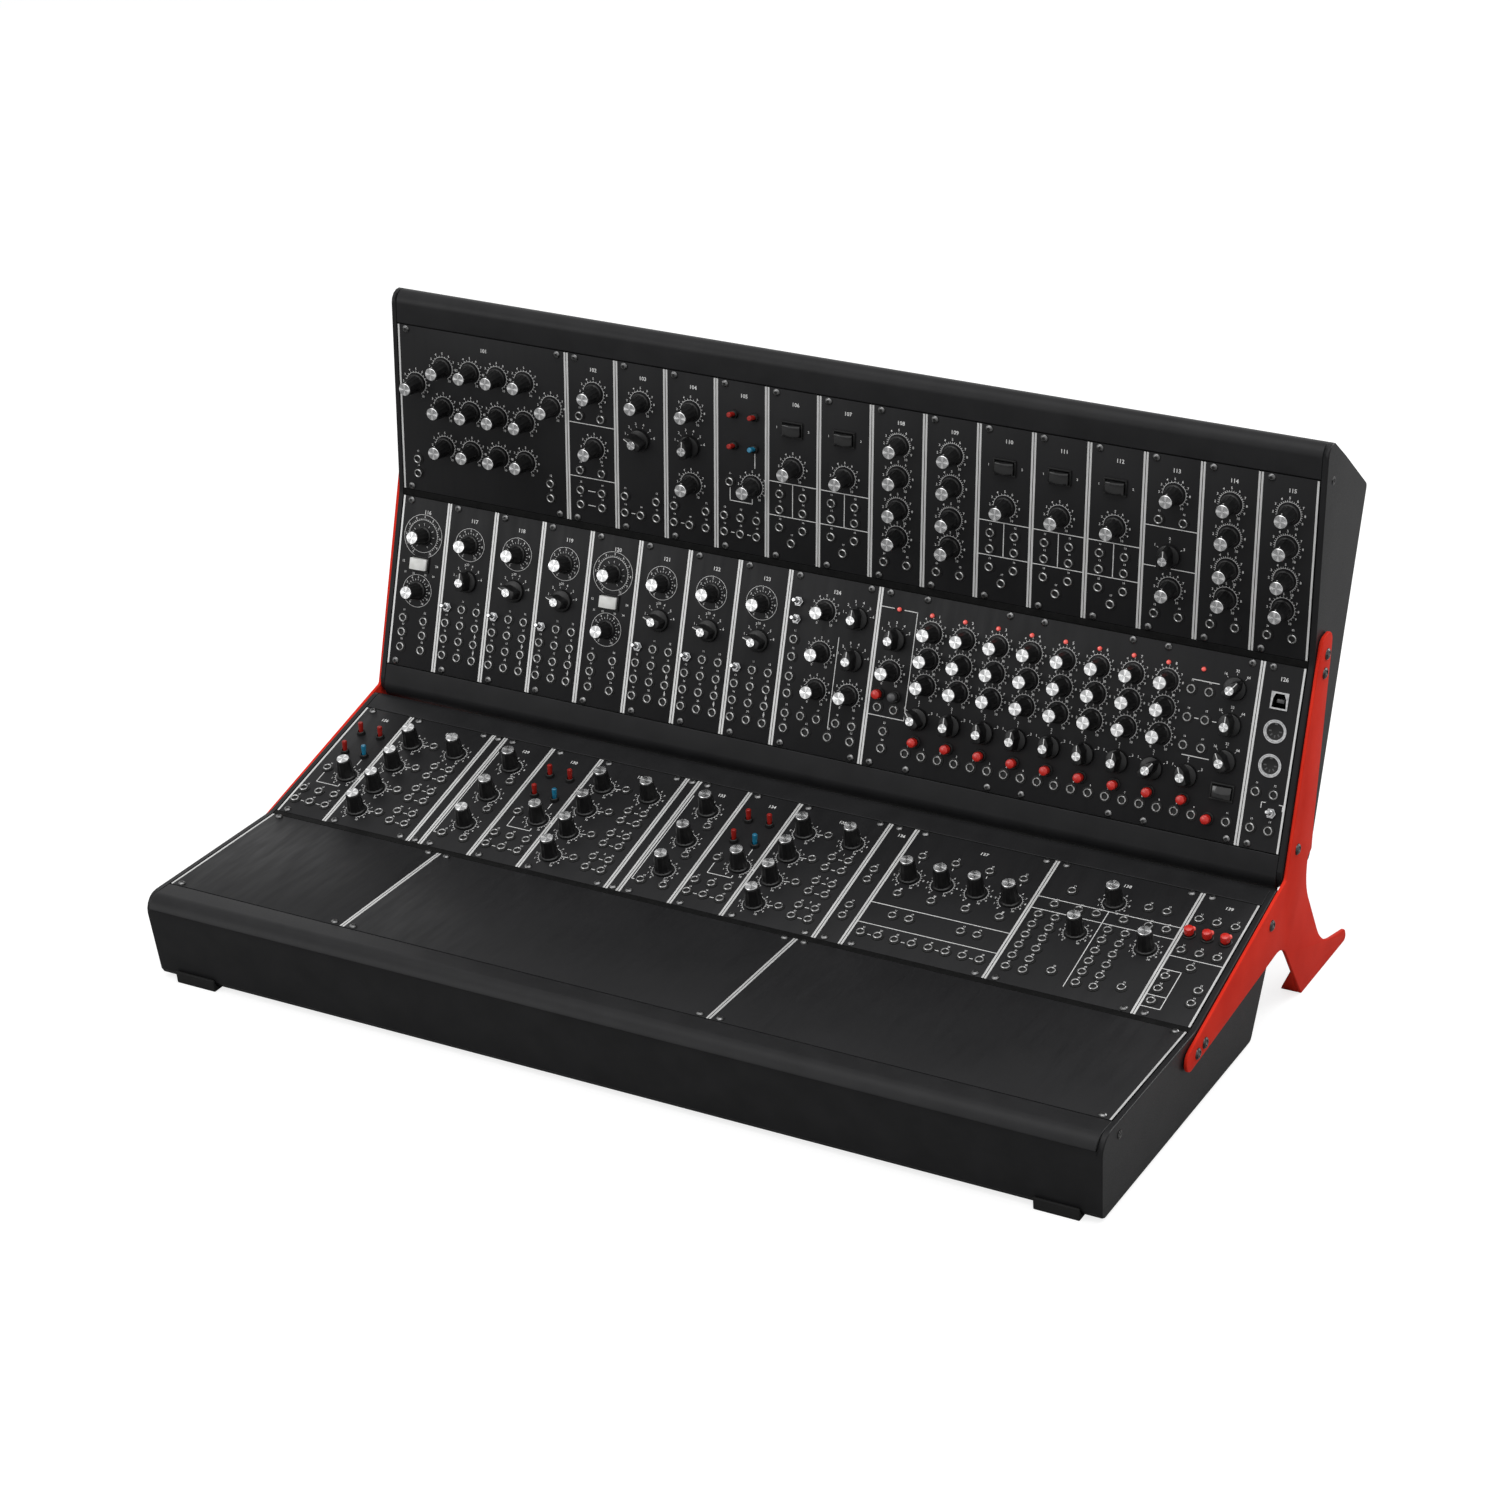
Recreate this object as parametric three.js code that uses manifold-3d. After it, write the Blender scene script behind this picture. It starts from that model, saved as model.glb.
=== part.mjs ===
import * as THREE from 'three';
import { mergeVertices } from 'three/addons/utils/BufferGeometryUtils.js';
import Module from 'manifold-3d';

const wasm = await Module();
wasm.setup();

// Rack standard: width unit, row width in units, panel height and sheet
const unit = 5.08;
const rowUnits = 140;
const converterFrom = 134;
const panelHeight = 128.5;
const panelThickness = 2;
const panelSideGap = 0.15;

// Case: the angle between its two rows, the rail between them and the body round them
const rowBend = 15;
const railWidth = 5.4;
const railDepth = 12.3;
const ledgeReach = 7;
const caseDepth = 66;
const sheetThickness = 2;
const frontUndercut = 11.1;
const frontCornerRadius = 5;
const rearSlope = 19.6;
const rearCornerRadius = 5;

// Front lip of a case, with its rounded nose, and the rear lip
const frontLipReach = 27.2;
const frontLipRadius = 12;
const frontLipDepth = 9.4;
const frontLipWall = 3.2;
const frontSheetInset = 2.4;
const rearLipFlat = 15.35;
const rearLipRadius = 8.9;
const rearLipSkirt = 10;
const rearLipWall = 3;

// End cheeks, side brackets and their bolts
const cheekGap = 0.8;
const cheekThickness = 3.9;
const bracketThickness = 2.5;
const bracketFlange = 12.6;
const bracketInset = 1;
const boltRadius = 3.8;
const boltHeight = 1.6;

// Upper case: its place behind and above the end of the lower one's rear nose, and its tilt
const upperCaseBack = 4.91;
const upperCaseRise = 32.75;
const upperCaseTilt = 75.4;

// Clearances: between seated pieces, round a turning shaft and round a rocker
const seatGap = 0.3;
const shaftGap = 0.4;
const rockerGap = 0.5;

// Feet
const footHeight = 2.5;
const footWidth = 32;
const footLength = 36;
const footInset = 12;
const footWrap = 7;
const footWall = 2.2;
const rearFootInset = 17.4;

// Knobs, selectors and their shafts
const knobRadius = 6.8;
const knobTopRadius = 5.2;
const knobHeight = 15.5;
const capRadius = 4.6;
const capHeight = 1.3;
const shaftRadius = 3;
const shaftDepth = 6;
const skirtRadius = 8.3;
const skirtHeight = 3;
const gripWidth = 6.5;
const gripLength = 17;
const gripHeight = 12.5;
const gripCapRadius = 3.2;
const turnGap = 0.4;

// Switches and push buttons
const leverRadius = 1.4;
const leverTipRadius = 1.8;
const leverHeight = 9.6;
const leverDepth = 1.5;
const leverTilt = 12;
const leverHole = 2.6;
const rockerWidth = 14;
const rockerLength = 9;
const rockerHeight = 5.5;
const rockerDepth = 1.5;
const rockerTilt = 8;
const buttonRadius = 3.8;
const buttonHeight = 5;
const buttonStemRadius = 2;
const buttonStemDepth = 5;
const buttonTravel = 1.5;

// Sockets of the converter panel
const usbWidth = 12;
const usbHeight = 11;
const usbDepth = 13;
const dinRadius = 6.5;
const dinDepth = 10;
const socketWall = 2;
const usbPlace = [3, 103.7];
const dinPlaces = [[3, 82.6], [3, 58.9]];

// Circuit boards behind the rows, bus boards and power supplies in the case floors
const boardThickness = 1.6;
const boardDrop = 15;
const boardMargin = 14;
const boardEnd = 8;
const postSize = 10;
const postCount = 8;
const busBoardWidth = 44;
const busBoardLength = 560;
const busBoardGap = 41;
const busPostHeight = 6;
const busPostCount = 5;
const supplyWidth = 150;
const supplyLength = 70;
const supplyHeight = 26;
const supplyInset = 35;
const supplyX = -120;

// Power inlet with its socket and rocker switch, in the rear wall
const inletRim = 2;
const inletFlange = 1.5;
const inletWall = 2;
const inletBodyWidth = 46;
const inletBodyHeight = 24;
const inletBodyDepth = 20;
const socketWidth = 24;
const socketHeight = 17;
const socketDepth = 15;
const powerSwitchWidth = 12;
const powerSwitchHeight = 18;
const powerSwitchProud = 2.5;
const powerSwitchDepth = 5;
const inletX = 240;
const inletUp = 36;

// Smoothness of the turned and rounded forms
const fastenedKnobSides = 8;
const turningSides = 12;
const curveSegments = 5;

const rowWidth = rowUnits * unit;
const bodyHalf = rowWidth / 2 + cheekGap - seatGap;
const cheekX = rowWidth / 2 + cheekGap;
const bracketX = cheekX + cheekThickness + seatGap;
const ledgeTop = -panelThickness - seatGap;
const floorZ = -caseDepth - footHeight;
const socketOffset = inletBodyWidth / 2 - inletWall - socketWidth / 2;
const powerSwitchOffset = powerSwitchWidth / 2 + inletWall - inletBodyWidth / 2;
// Places up a panel are written for its standard height of 128.5, and stretch with it
const upStep = panelHeight / 128.5;
const radians = THREE.MathUtils.degToRad;

const finishes = {
  panel: { color: 0x242424, roughness: 0.55, metalness: 0.2 },
  body: { color: 0x2c2c2c, roughness: 0.45, metalness: 0.3 },
  bracket: { color: 0xbe3226, roughness: 0.4, metalness: 0.2 },
  knob: { color: 0x161616, roughness: 0.4, metalness: 0 },
  lever: { color: 0xb9bbbd, roughness: 0.25, metalness: 0.9 },
  red: { color: 0xc0261c, roughness: 0.35, metalness: 0 },
  blue: { color: 0x2b67b8, roughness: 0.35, metalness: 0 },
  grey: { color: 0x4a4a4a, roughness: 0.4, metalness: 0 },
  white: { color: 0xe6e6e2, roughness: 0.4, metalness: 0 },
  black: { color: 0x151515, roughness: 0.45, metalness: 0 },
  rubber: { color: 0x1a1a1a, roughness: 0.8, metalness: 0 },
  board: { color: 0x1e5a34, roughness: 0.5, metalness: 0 },
  steel: { color: 0x8d9093, roughness: 0.4, metalness: 0.8 },
};

// A named mesh with its own material
function piece(name, geometry, finish, parent) {
  const mesh = new THREE.Mesh(geometry, new THREE.MeshStandardMaterial(finishes[finish]));
  mesh.name = name;
  parent.add(mesh);
  return mesh;
}

// A solid for joining and cutting, from a closed geometry
function solid(geometry) {
  const bare = geometry.clone();
  bare.deleteAttribute('normal');
  bare.deleteAttribute('uv');
  const merged = mergeVertices(bare, 1e-4);
  return new wasm.Manifold(new wasm.Mesh({
    numProp: 3,
    vertProperties: new Float32Array(merged.attributes.position.array),
    triVerts: new Uint32Array(merged.index.array),
  }));
}

// The geometry of a joined or cut solid
function geometryOf(shape) {
  const mesh = shape.getMesh();
  const geometry = new THREE.BufferGeometry();
  geometry.setAttribute('position', new THREE.BufferAttribute(new Float32Array(mesh.vertProperties), 3));
  geometry.setIndex(new THREE.BufferAttribute(new Uint32Array(mesh.triVerts), 1));
  geometry.computeVertexNormals();
  return geometry;
}

// A side outline, given as depth and height, run along the width from one x to another
function alongWidth(outline, fromX, toX) {
  const shape = outline instanceof THREE.Shape ? outline : new THREE.Shape(outline);
  const geometry = new THREE.ExtrudeGeometry(shape, {
    depth: toX - fromX, bevelEnabled: false, curveSegments,
  });
  const turn = new THREE.Matrix4().makeBasis(
    new THREE.Vector3(0, 1, 0), new THREE.Vector3(0, 0, 1), new THREE.Vector3(1, 0, 0));
  return geometry.applyMatrix4(turn).translate(fromX, 0, 0);
}

// A box from its lowest to its highest corner
function block(low, high) {
  const size = high.map((value, i) => value - low[i]);
  const centre = high.map((value, i) => (value + low[i]) / 2);
  return new THREE.BoxGeometry(...size).translate(...centre);
}

// A round bar or cone along Z, between two heights
function bar(bottomRadius, topRadius, bottom, top, sides) {
  return new THREE.CylinderGeometry(topRadius, bottomRadius, top - bottom, sides)
    .rotateX(Math.PI / 2)
    .translate(0, 0, (top + bottom) / 2);
}

const point = (y, z) => new THREE.Vector2(y, z);

// The upper row of a case, as depth and height in the case
const upperRow = {
  y: panelHeight + railWidth * Math.cos(radians(rowBend / 2)),
  z: railWidth * Math.sin(radians(rowBend / 2)),
};

// A place in the plane of the upper row: up the panel, and out of it
function inUpperRow(up, out) {
  const place = point(up, out).rotateAround(point(0, 0), radians(rowBend));
  return point(place.x + upperRow.y, place.y + upperRow.z);
}

// The points of an arc between two angles, in degrees
function arc(centre, radius, from, to, steps = curveSegments) {
  return Array.from({ length: steps + 1 }, (_, i) => {
    const angle = radians(from + (to - from) * i / steps);
    return point(centre.x + radius * Math.cos(angle), centre.y + radius * Math.sin(angle));
  });
}

// A closed outline with its corners rounded: each corner has a place and a radius
function rounded(corners) {
  const shape = new THREE.Shape();
  corners.forEach(([y, z, radius], i) => {
    const corner = point(y, z);
    const before = point(...corners[(i + corners.length - 1) % corners.length]).sub(corner).normalize();
    const after = point(...corners[(i + 1) % corners.length]).sub(corner).normalize();
    const half = Math.acos(THREE.MathUtils.clamp(before.dot(after), -1, 1)) / 2;
    const reach = radius / Math.tan(half);
    const start = before.clone().multiplyScalar(reach).add(corner);
    const end = after.clone().multiplyScalar(reach).add(corner);
    const centre = before.clone().add(after).normalize().multiplyScalar(radius / Math.sin(half)).add(corner);
    const from = Math.atan2(start.y - centre.y, start.x - centre.x);
    const to = Math.atan2(end.y - centre.y, end.x - centre.x);
    const clockwise = before.cross(after) > 0;
    if (i === 0) {
      shape.moveTo(start.x, start.y);
    } else {
      shape.lineTo(start.x, start.y);
    }
    shape.absarc(centre.x, centre.y, radius, from, to, clockwise);
  });
  return shape;
}

// Outer side line of a case
const undercut = Math.tan(radians(frontUndercut));
const frontAt = (z) => frontSheetInset - frontLipReach + Math.max(0, -z - frontLipDepth) * undercut;
const cheekNose = arc(
  point(frontAt(-frontLipRadius) + frontLipRadius / Math.cos(radians(frontUndercut)), -frontLipRadius),
  frontLipRadius, 90, 180 + frontUndercut);
const rearDown = point(-Math.sin(radians(rearSlope)), -Math.cos(radians(rearSlope)));
const frontNoseEnd = 180 - THREE.MathUtils.radToDeg(Math.asin(1 - frontLipDepth / frontLipRadius));
const frontNose = arc(
  point(-(frontLipReach - frontLipRadius), -frontLipRadius), frontLipRadius, 90, frontNoseEnd);
const rearNoseCentre = inUpperRow(panelHeight + rearLipFlat, -rearLipRadius);
const rearNose = arc(rearNoseCentre, rearLipRadius, 90 + rowBend, -rearSlope);
const rearNoseEnd = rearNose[rearNose.length - 1];
const alongRear = (distance) => rearNoseEnd.clone().addScaledVector(rearDown, distance);
const rearLength = (rearNoseEnd.y + caseDepth) / -rearDown.y;
const rearCornerReach = rearCornerRadius * Math.tan(radians((90 - rearSlope) / 2));
const rearCornerTop = alongRear(rearLength - rearCornerReach);
const rearCorner = arc(
  point(rearCornerTop.x - rearCornerRadius * Math.cos(radians(rearSlope)),
    rearCornerTop.y + rearCornerRadius * Math.sin(radians(rearSlope))),
  rearCornerRadius, -rearSlope, -90);
const rearFloorEnd = rearCorner[rearCorner.length - 1].x;
const supplyFront = rearFloorEnd - supplyInset - supplyLength;
const upperCaseY = rearNoseEnd.x + upperCaseBack;
const upperCaseZ = rearNoseEnd.y + upperCaseRise;
const frontBottom = frontAt(-caseDepth);
const frontCorner = [
  point(frontAt(-caseDepth + frontCornerRadius), -caseDepth + frontCornerRadius),
  point(frontBottom + frontCornerRadius * 0.3, -caseDepth + frontCornerRadius * 0.3),
  point(frontBottom + frontCornerRadius, -caseDepth),
];

// A sheet bent along a line: the line and the same line moved in by the sheet's thickness
function bentSheet(line, thickness) {
  const inner = line.map((here, i) => {
    const before = line[Math.max(i - 1, 0)];
    const after = line[Math.min(i + 1, line.length - 1)];
    const into = here.clone().sub(before).normalize();
    const out = after.clone().sub(here).normalize();
    const along = into.clone().add(out).normalize();
    const straight = into.lengthSq() > 0 ? into : out;
    const stretch = 1 / Math.max(along.dot(straight), 0.5);
    return point(here.x - along.y * thickness * stretch, here.y + along.x * thickness * stretch);
  });
  return [...line, ...inner.reverse()];
}

// Pan of a case: front sheet, floor and rear wall in one bent sheet, with the inlet's hole
function panGeometry() {
  const frontTop = -frontLipDepth - seatGap - sheetThickness * Math.sin(radians(frontUndercut));
  const line = [
    point(frontAt(frontTop), frontTop),
    ...frontCorner,
    ...rearCorner.slice().reverse(),
    alongRear(rearLipSkirt + seatGap),
  ];
  const sheet = solid(alongWidth(bentSheet(line, sheetThickness), -bodyHalf, bodyHalf));
  const hole = block(
    [-inletBodyWidth / 2 - seatGap, -inletBodyHeight / 2 - seatGap, -2 * sheetThickness],
    [inletBodyWidth / 2 + seatGap, inletBodyHeight / 2 + seatGap, sheetThickness]);
  hole.applyMatrix4(inletPlace());
  return geometryOf(sheet.subtract(solid(hole)));
}

// Where the inlet sits: its own Z points out of the rear wall, its Y up it
function inletPlace() {
  const foot = alongRear(rearLength - inletUp);
  const turn = radians(-90 - rearSlope);
  return new THREE.Matrix4().makeTranslation(inletX, foot.x, foot.y)
    .multiply(new THREE.Matrix4().makeRotationX(turn));
}

// Front lip: a flat, a rounded nose and a ledge that carries the panels
function frontLipGeometry() {
  const outline = [
    point(-seatGap, 0),
    ...frontNose,
    point(frontAt(-frontLipDepth) + frontLipWall, -frontLipDepth),
    point(frontAt(-frontLipDepth) + frontLipWall, -railDepth),
    point(ledgeReach, -railDepth),
    point(ledgeReach, ledgeTop),
    point(-seatGap, ledgeTop),
  ];
  return alongWidth(outline, -bodyHalf, bodyHalf);
}

// Rail between the two rows: a visible strip with a ledge on each side
function middleRailGeometry() {
  const outline = [
    point(panelHeight + seatGap, 0),
    inUpperRow(-seatGap, 0),
    inUpperRow(-seatGap, ledgeTop),
    inUpperRow(ledgeReach, ledgeTop),
    inUpperRow(ledgeReach, -railDepth),
    point(panelHeight - ledgeReach, -railDepth),
    point(panelHeight - ledgeReach, ledgeTop),
    point(panelHeight + seatGap, ledgeTop),
  ];
  return alongWidth(outline.reverse(), -bodyHalf, bodyHalf);
}

// Rear lip: a flat, a rounded nose, a skirt and a ledge
function rearLipGeometry() {
  const skirt = alongRear(rearLipSkirt);
  const inward = point(rearDown.y, -rearDown.x);
  const outline = [
    inUpperRow(panelHeight + seatGap, 0),
    ...rearNose,
    skirt,
    skirt.clone().addScaledVector(inward, rearLipWall),
    inUpperRow(panelHeight + ledgeReach, -railDepth),
    inUpperRow(panelHeight - ledgeReach, -railDepth),
    inUpperRow(panelHeight - ledgeReach, ledgeTop),
    inUpperRow(panelHeight + seatGap, ledgeTop),
  ];
  return alongWidth(outline.reverse(), -bodyHalf, bodyHalf);
}

// End cheek: the whole side outline of a case
function cheekGeometry(fromX, toX) {
  const outline = [
    ...cheekNose,
    ...frontCorner,
    ...rearCorner.slice().reverse(),
    ...rearNose.slice().reverse(),
    inUpperRow(0, 0),
    point(panelHeight, 0),
  ];
  return alongWidth(outline, fromX, toX);
}

// Side bracket: lower arm on the lower cheek, upper arm on the upper one, and a foot behind.
// Its corners and bolts are placed from the upper case's corner, and the foot's corners from the floor.
const footDrop = floorZ - upperCaseZ;
const bracketCorners = [
  [-181.2, -68.1, 8], [-173.8, -82.3, 9], [0.7, -67.7, 26], [48.6, footDrop, 2], [143.4, footDrop, 3.5],
  [139, footDrop + 9.8, 6], [85.7, footDrop + 22, 55], [40.2, -39.5, 45], [41.3, -18.1, 2.5],
  [48.3, -14.3, 2.5], [48.9, 8.4, 40], [60.9, 146.1, 9], [38.9, 144.6, 8], [-1.7, -17.9, 3],
].map(([back, rise, radius]) => [upperCaseY + back, upperCaseZ + rise, radius]);
const bracketBolts = [
  [50.7, 129.9], [48.1, 116.8], [17, -1.6], [-26.4, -40.3], [-145.9, -71.9], [-158.6, -73.7],
].map(([back, rise]) => [upperCaseY + back, upperCaseZ + rise]);

function bracketGeometry(side) {
  const inner = side * bracketX;
  const outer = side * (bracketX + bracketThickness);
  const [near, far] = side > 0 ? [inner, outer] : [outer, inner];
  let shape = solid(alongWidth(rounded(bracketCorners), near, far));
  const [, , [kneeY, kneeZ], [toeY]] = bracketCorners;
  const along = point(toeY - kneeY, floorZ - kneeZ).normalize();
  const across = point(-along.y, along.x).multiplyScalar(bracketThickness);
  const top = point(toeY, floorZ).addScaledVector(along, -bracketFlange * 2.4);
  const strip = [point(toeY, floorZ), point(toeY + across.x * 1.25, floorZ), top.clone().add(across), top];
  const reach = side * (bracketX - bracketFlange);
  const flange = solid(alongWidth(strip, Math.min(reach, outer), Math.max(reach, outer)));
  const slope = Math.atan2(bracketFlange, top.y - floorZ);
  const cutterSize = 2 * (toeY - kneeY);
  const cutter = solid(new THREE.BoxGeometry(cutterSize, cutterSize, cutterSize)
    .translate(-side * cutterSize / 2, 0, 0)
    .rotateY(-side * slope)
    .translate(reach, (top.x + toeY) / 2, floorZ));
  shape = shape.add(flange.subtract(cutter));
  bracketBolts.forEach(([y, z]) => {
    const head = bar(boltRadius, boltRadius * 0.8, -0.5, boltHeight, 12).rotateY(side * Math.PI / 2);
    shape = shape.add(solid(head.translate(outer, y, z)));
  });
  return geometryOf(shape);
}

// Feet: the front ones wrap the case's front edge, the rear ones are plain pads
function frontFootGeometry(fromX) {
  const top = -caseDepth + footWrap;
  const outline = [
    point(frontAt(top) - footWall - seatGap, top),
    point(frontBottom - footWall, floorZ),
    point(frontBottom + footLength, floorZ),
    point(frontBottom + footLength, -caseDepth - seatGap),
    ...frontCorner.map((corner) => point(corner.x - seatGap, corner.y - seatGap)).reverse(),
    point(frontAt(top) - seatGap, top),
  ];
  return alongWidth(outline, fromX, fromX + footWidth);
}

function rearFootGeometry(fromX) {
  const rear = rearFloorEnd - rearFootInset;
  return block([fromX, rear - footLength / 2, floorZ], [fromX + footWidth, rear, -caseDepth - seatGap]);
}

// Knob: a tapering body, and on a turning one its aluminium cap and a shaft through the panel
function knobGeometry(sides, turning) {
  if (!turning) {
    return solid(bar(knobRadius, capRadius, -panelThickness / 2, knobHeight + capHeight, sides));
  }
  const body = solid(bar(knobRadius, knobTopRadius, turnGap, knobHeight, sides));
  const cap = solid(bar(capRadius, capRadius, knobHeight - capHeight, knobHeight + capHeight, sides));
  return body.add(cap).add(shaft());
}

function shaft() {
  return solid(bar(shaftRadius, shaftRadius, -shaftDepth, turnGap + capHeight, turningSides));
}

// Selector: a round skirt, a long pointer grip and a small cap
function selectorGeometry(sides, turning) {
  const bottom = turning ? turnGap : -panelThickness / 2;
  const skirt = solid(bar(skirtRadius, skirtRadius * 0.94, bottom, skirtHeight, sides));
  const grip = new THREE.Shape([
    point(-gripWidth / 2, -gripLength / 2 + 2), point(gripWidth / 2, -gripLength / 2 + 2),
    point(gripWidth / 2, gripLength / 2 - 3), point(0, gripLength / 2), point(-gripWidth / 2, gripLength / 2 - 3),
  ]);
  const shape = skirt.add(solid(
    new THREE.ExtrudeGeometry(grip, { depth: gripHeight - 1, bevelEnabled: false }).translate(0, 0, 1)));
  if (!turning) {
    return shape;
  }
  const cap = solid(bar(gripCapRadius, gripCapRadius, gripHeight - 1, gripHeight + 1, sides));
  return shape.add(cap).add(shaft());
}

// Toggle: a lever that widens to its tip, tilted up
function leverGeometry(sides, turning) {
  const lever = bar(leverRadius, leverTipRadius, -leverDepth, leverHeight, turning ? sides : 5);
  return solid(lever.rotateX(turning ? 0 : -radians(leverTilt)));
}

// Rocker: a raised paddle with a ridge
function rockerGeometry() {
  const outline = new THREE.Shape([
    point(-rockerWidth / 2, -rockerDepth), point(rockerWidth / 2, -rockerDepth),
    point(rockerWidth / 2, rockerHeight - 1), point(0, rockerHeight), point(-rockerWidth / 2, rockerHeight - 1),
  ]);
  const paddle = new THREE.ExtrudeGeometry(outline, { depth: rockerLength, bevelEnabled: false });
  return solid(paddle.rotateX(Math.PI / 2).translate(0, rockerLength / 2, 0));
}

// Push button: a round cap on a stem
function buttonGeometry(sides, turning) {
  const bottom = turning ? buttonTravel + turnGap : -panelThickness / 2;
  const cap = solid(bar(buttonRadius, buttonRadius * 0.9, bottom, bottom + buttonHeight, sides));
  if (!turning) {
    return cap;
  }
  return cap.add(solid(bar(buttonStemRadius, buttonStemRadius, -buttonStemDepth, bottom + 1, turningSides)));
}

// Holes in a panel under the pieces that move
const roundHole = (radius) => bar(radius, radius, -2 * panelThickness, panelThickness, turningSides);
const holes = {
  knob: () => roundHole(shaftRadius + shaftGap),
  selector: () => roundHole(shaftRadius + shaftGap),
  lever: () => roundHole(leverHole),
  button: () => roundHole(buttonStemRadius + shaftGap),
  rocker: () => new THREE.BoxGeometry(
    rockerWidth + 2 * rockerGap, rockerLength + 2 * rockerGap, 4 * panelThickness),
};
const controlSolids = {
  knob: knobGeometry, selector: selectorGeometry, lever: leverGeometry, button: buttonGeometry,
  rocker: rockerGeometry,
};

// Every control: row from the top, place in units and millimetres up the panel, kind and finish.
// One with a name is a piece of its own that moves. The others are fastened to their panel.
const controls = [];
function control(row, units, up, kind, name, finish = 'knob', tilt = 0) {
  controls.push({ row, x: (units - rowUnits / 2) * unit, up: up * upStep, kind, name, finish, tilt });
}

function filterBank(row, at) {
  control(row, at + 2.85, 84.7, 'knob', 'filter_bank_low_knob');
  control(row, at + 25.4, 84.7, 'knob');
  [7.4, 12, 16.5, 21].forEach((column) => {
    [100, 69.4, 38.6].forEach((up) => control(row, at + column, up, 'knob'));
  });
}

function filters(row, at) {
  [101, 58.8].forEach((up) => control(row, at + 4.4, up, 'knob'));
}

function highPass(row, at) {
  control(row, at + 4, 100.2, 'knob');
  control(row, at + 3.8, 71.6, 'selector');
}

function lowPass(row, at) {
  control(row, at + 4, 100.2, 'knob');
  control(row, at + 3.8, 73.7, 'selector');
  control(row, at + 4, 45.4, 'knob');
}

function controlVoltages(row, at) {
  control(row, at + 2.9, 104.3, 'lever', 'red_toggle', 'red');
  control(row, at + 6.1, 104.3, 'lever');
  control(row, at + 2.9, 80.6, 'lever');
  control(row, at + 6.1, 80.6, 'lever', 'blue_toggle', 'blue');
  control(row, at + 5.7, 52, 'knob');
}

function amplifier(row, at, rockerName) {
  control(row, at + 3.9, 99.9, 'rocker', rockerName, 'black', rockerTilt);
  control(row, at + 4, 71, 'knob');
}

function envelope(row, at, knobName) {
  control(row, at + 4.1, 102, 'knob', knobName);
  [78.6, 54.8, 33.8].forEach((up) => control(row, at + 4.1, up, 'knob'));
}

function triggerDelay(row, at) {
  [101.7, 33.5].forEach((up) => control(row, at + 4.2, up, 'knob'));
  control(row, at + 3.9, 57.3, 'selector');
}

function oscillatorDriver(row, at, knobName, rockerName) {
  control(row, at + 4, 100.3, 'knob', knobName);
  control(row, at + 3.9, 79.3, 'rocker', rockerName, 'white', rockerTilt);
  control(row, at + 3.9, 58.6, 'knob');
}

function oscillator(row, at, rangeName, toggleName) {
  control(row, at + 4, 100.5, 'knob');
  control(row, at + 4.2, 73, 'selector', rangeName);
  control(row, at + 1.3, 51.2, 'lever', toggleName, 'lever');
}

function voltageOscillator(row, at) {
  [107.1, 94.3].forEach((up) => control(row, at + 1.7, up, 'lever'));
  control(row, at + 5.9, 103.8, 'knob');
  [73.4, 46.2].forEach((up) => control(row, at + 5.9, up, 'knob'));
  [102.8, 72.7].forEach((up) => control(row, at + 11, up, 'selector'));
  control(row, at + 11, 46.8, 'knob');
}

const stepCount = 8;
const stepPitch = 4.98;
function sequencer(row, at) {
  control(row, at + 2.95, 93.3, 'selector', 'sequencer_range_selector');
  control(row, at + 2.85, 70.1, 'knob');
  control(row, at + 1.55, 53, 'button', 'start_button', 'red');
  control(row, at + 4, 53, 'button', 'stop_button', 'grey');
  // The last column has a selector and a button, but no knobs
  for (let step = 0; step <= stepCount; step += 1) {
    const first = step === 0;
    if (step < stepCount) {
      control(row, at + 8.3 + step * stepPitch, 102.7, 'knob', first ? 'step_knob' : undefined);
      [83.8, 64.9].forEach((up) => control(row, at + 8.3 + step * stepPitch, up, 'knob'));
    }
    control(row, at + 7.8 + step * stepPitch, 40.4, 'selector');
    control(row, at + 7.85 + step * stepPitch, 24, 'button', first ? 'step_button' : undefined, 'red');
  }
  control(row, at + 51.5, 14.1, 'button');
  [105.9, 80.7, 55.4].forEach((up) => control(row, at + 52.7, up, 'selector'));
  control(row, at + 53, 34.3, 'rocker', 'sequencer_rocker', 'black', rockerTilt);
}

function converter(row, at) {
  control(row, at + 4.1, 26.9, 'lever', 'converter_toggle', 'lever');
}

function oscillatorController(row, at) {
  [2.6, 5.9].forEach((column) => {
    [98.8, 75.4].forEach((up) => control(row, at + column, up, 'lever'));
  });
  control(row, at + 5.8, 51.1, 'knob');
}

function mixer(row, at, knobName) {
  control(row, at + 3.3, 99, 'knob', knobName);
  [72.1, 45.1, 18.7].forEach((up) => control(row, at + 3.3, up, 'knob'));
  control(row, at + 10.7, 99.3, 'knob');
}

function attenuators(row, at) {
  [99, 64.4, 30.4].forEach((up) => control(row, at + 4.1, up, 'knob'));
}

function wideAttenuators(row, at) {
  [3.1, 8.1, 13.15, 18.15].forEach((column, i) => {
    control(row, at + column, 78.6, 'knob', i === 0 ? 'attenuator_knob' : undefined);
  });
}

function interfacePanel(row, at) {
  control(row, at + 10.5, 99.4, 'knob');
  [7.9, 17.9].forEach((column) => control(row, at + column, 62.5, 'knob'));
}

function sequentialSwitch(row, at) {
  [1.25, 3.8, 6.35].forEach((column, i) => {
    control(row, at + column, 85.2, 'button', i === 0 ? 'switch_button' : undefined, 'red');
  });
}

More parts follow.
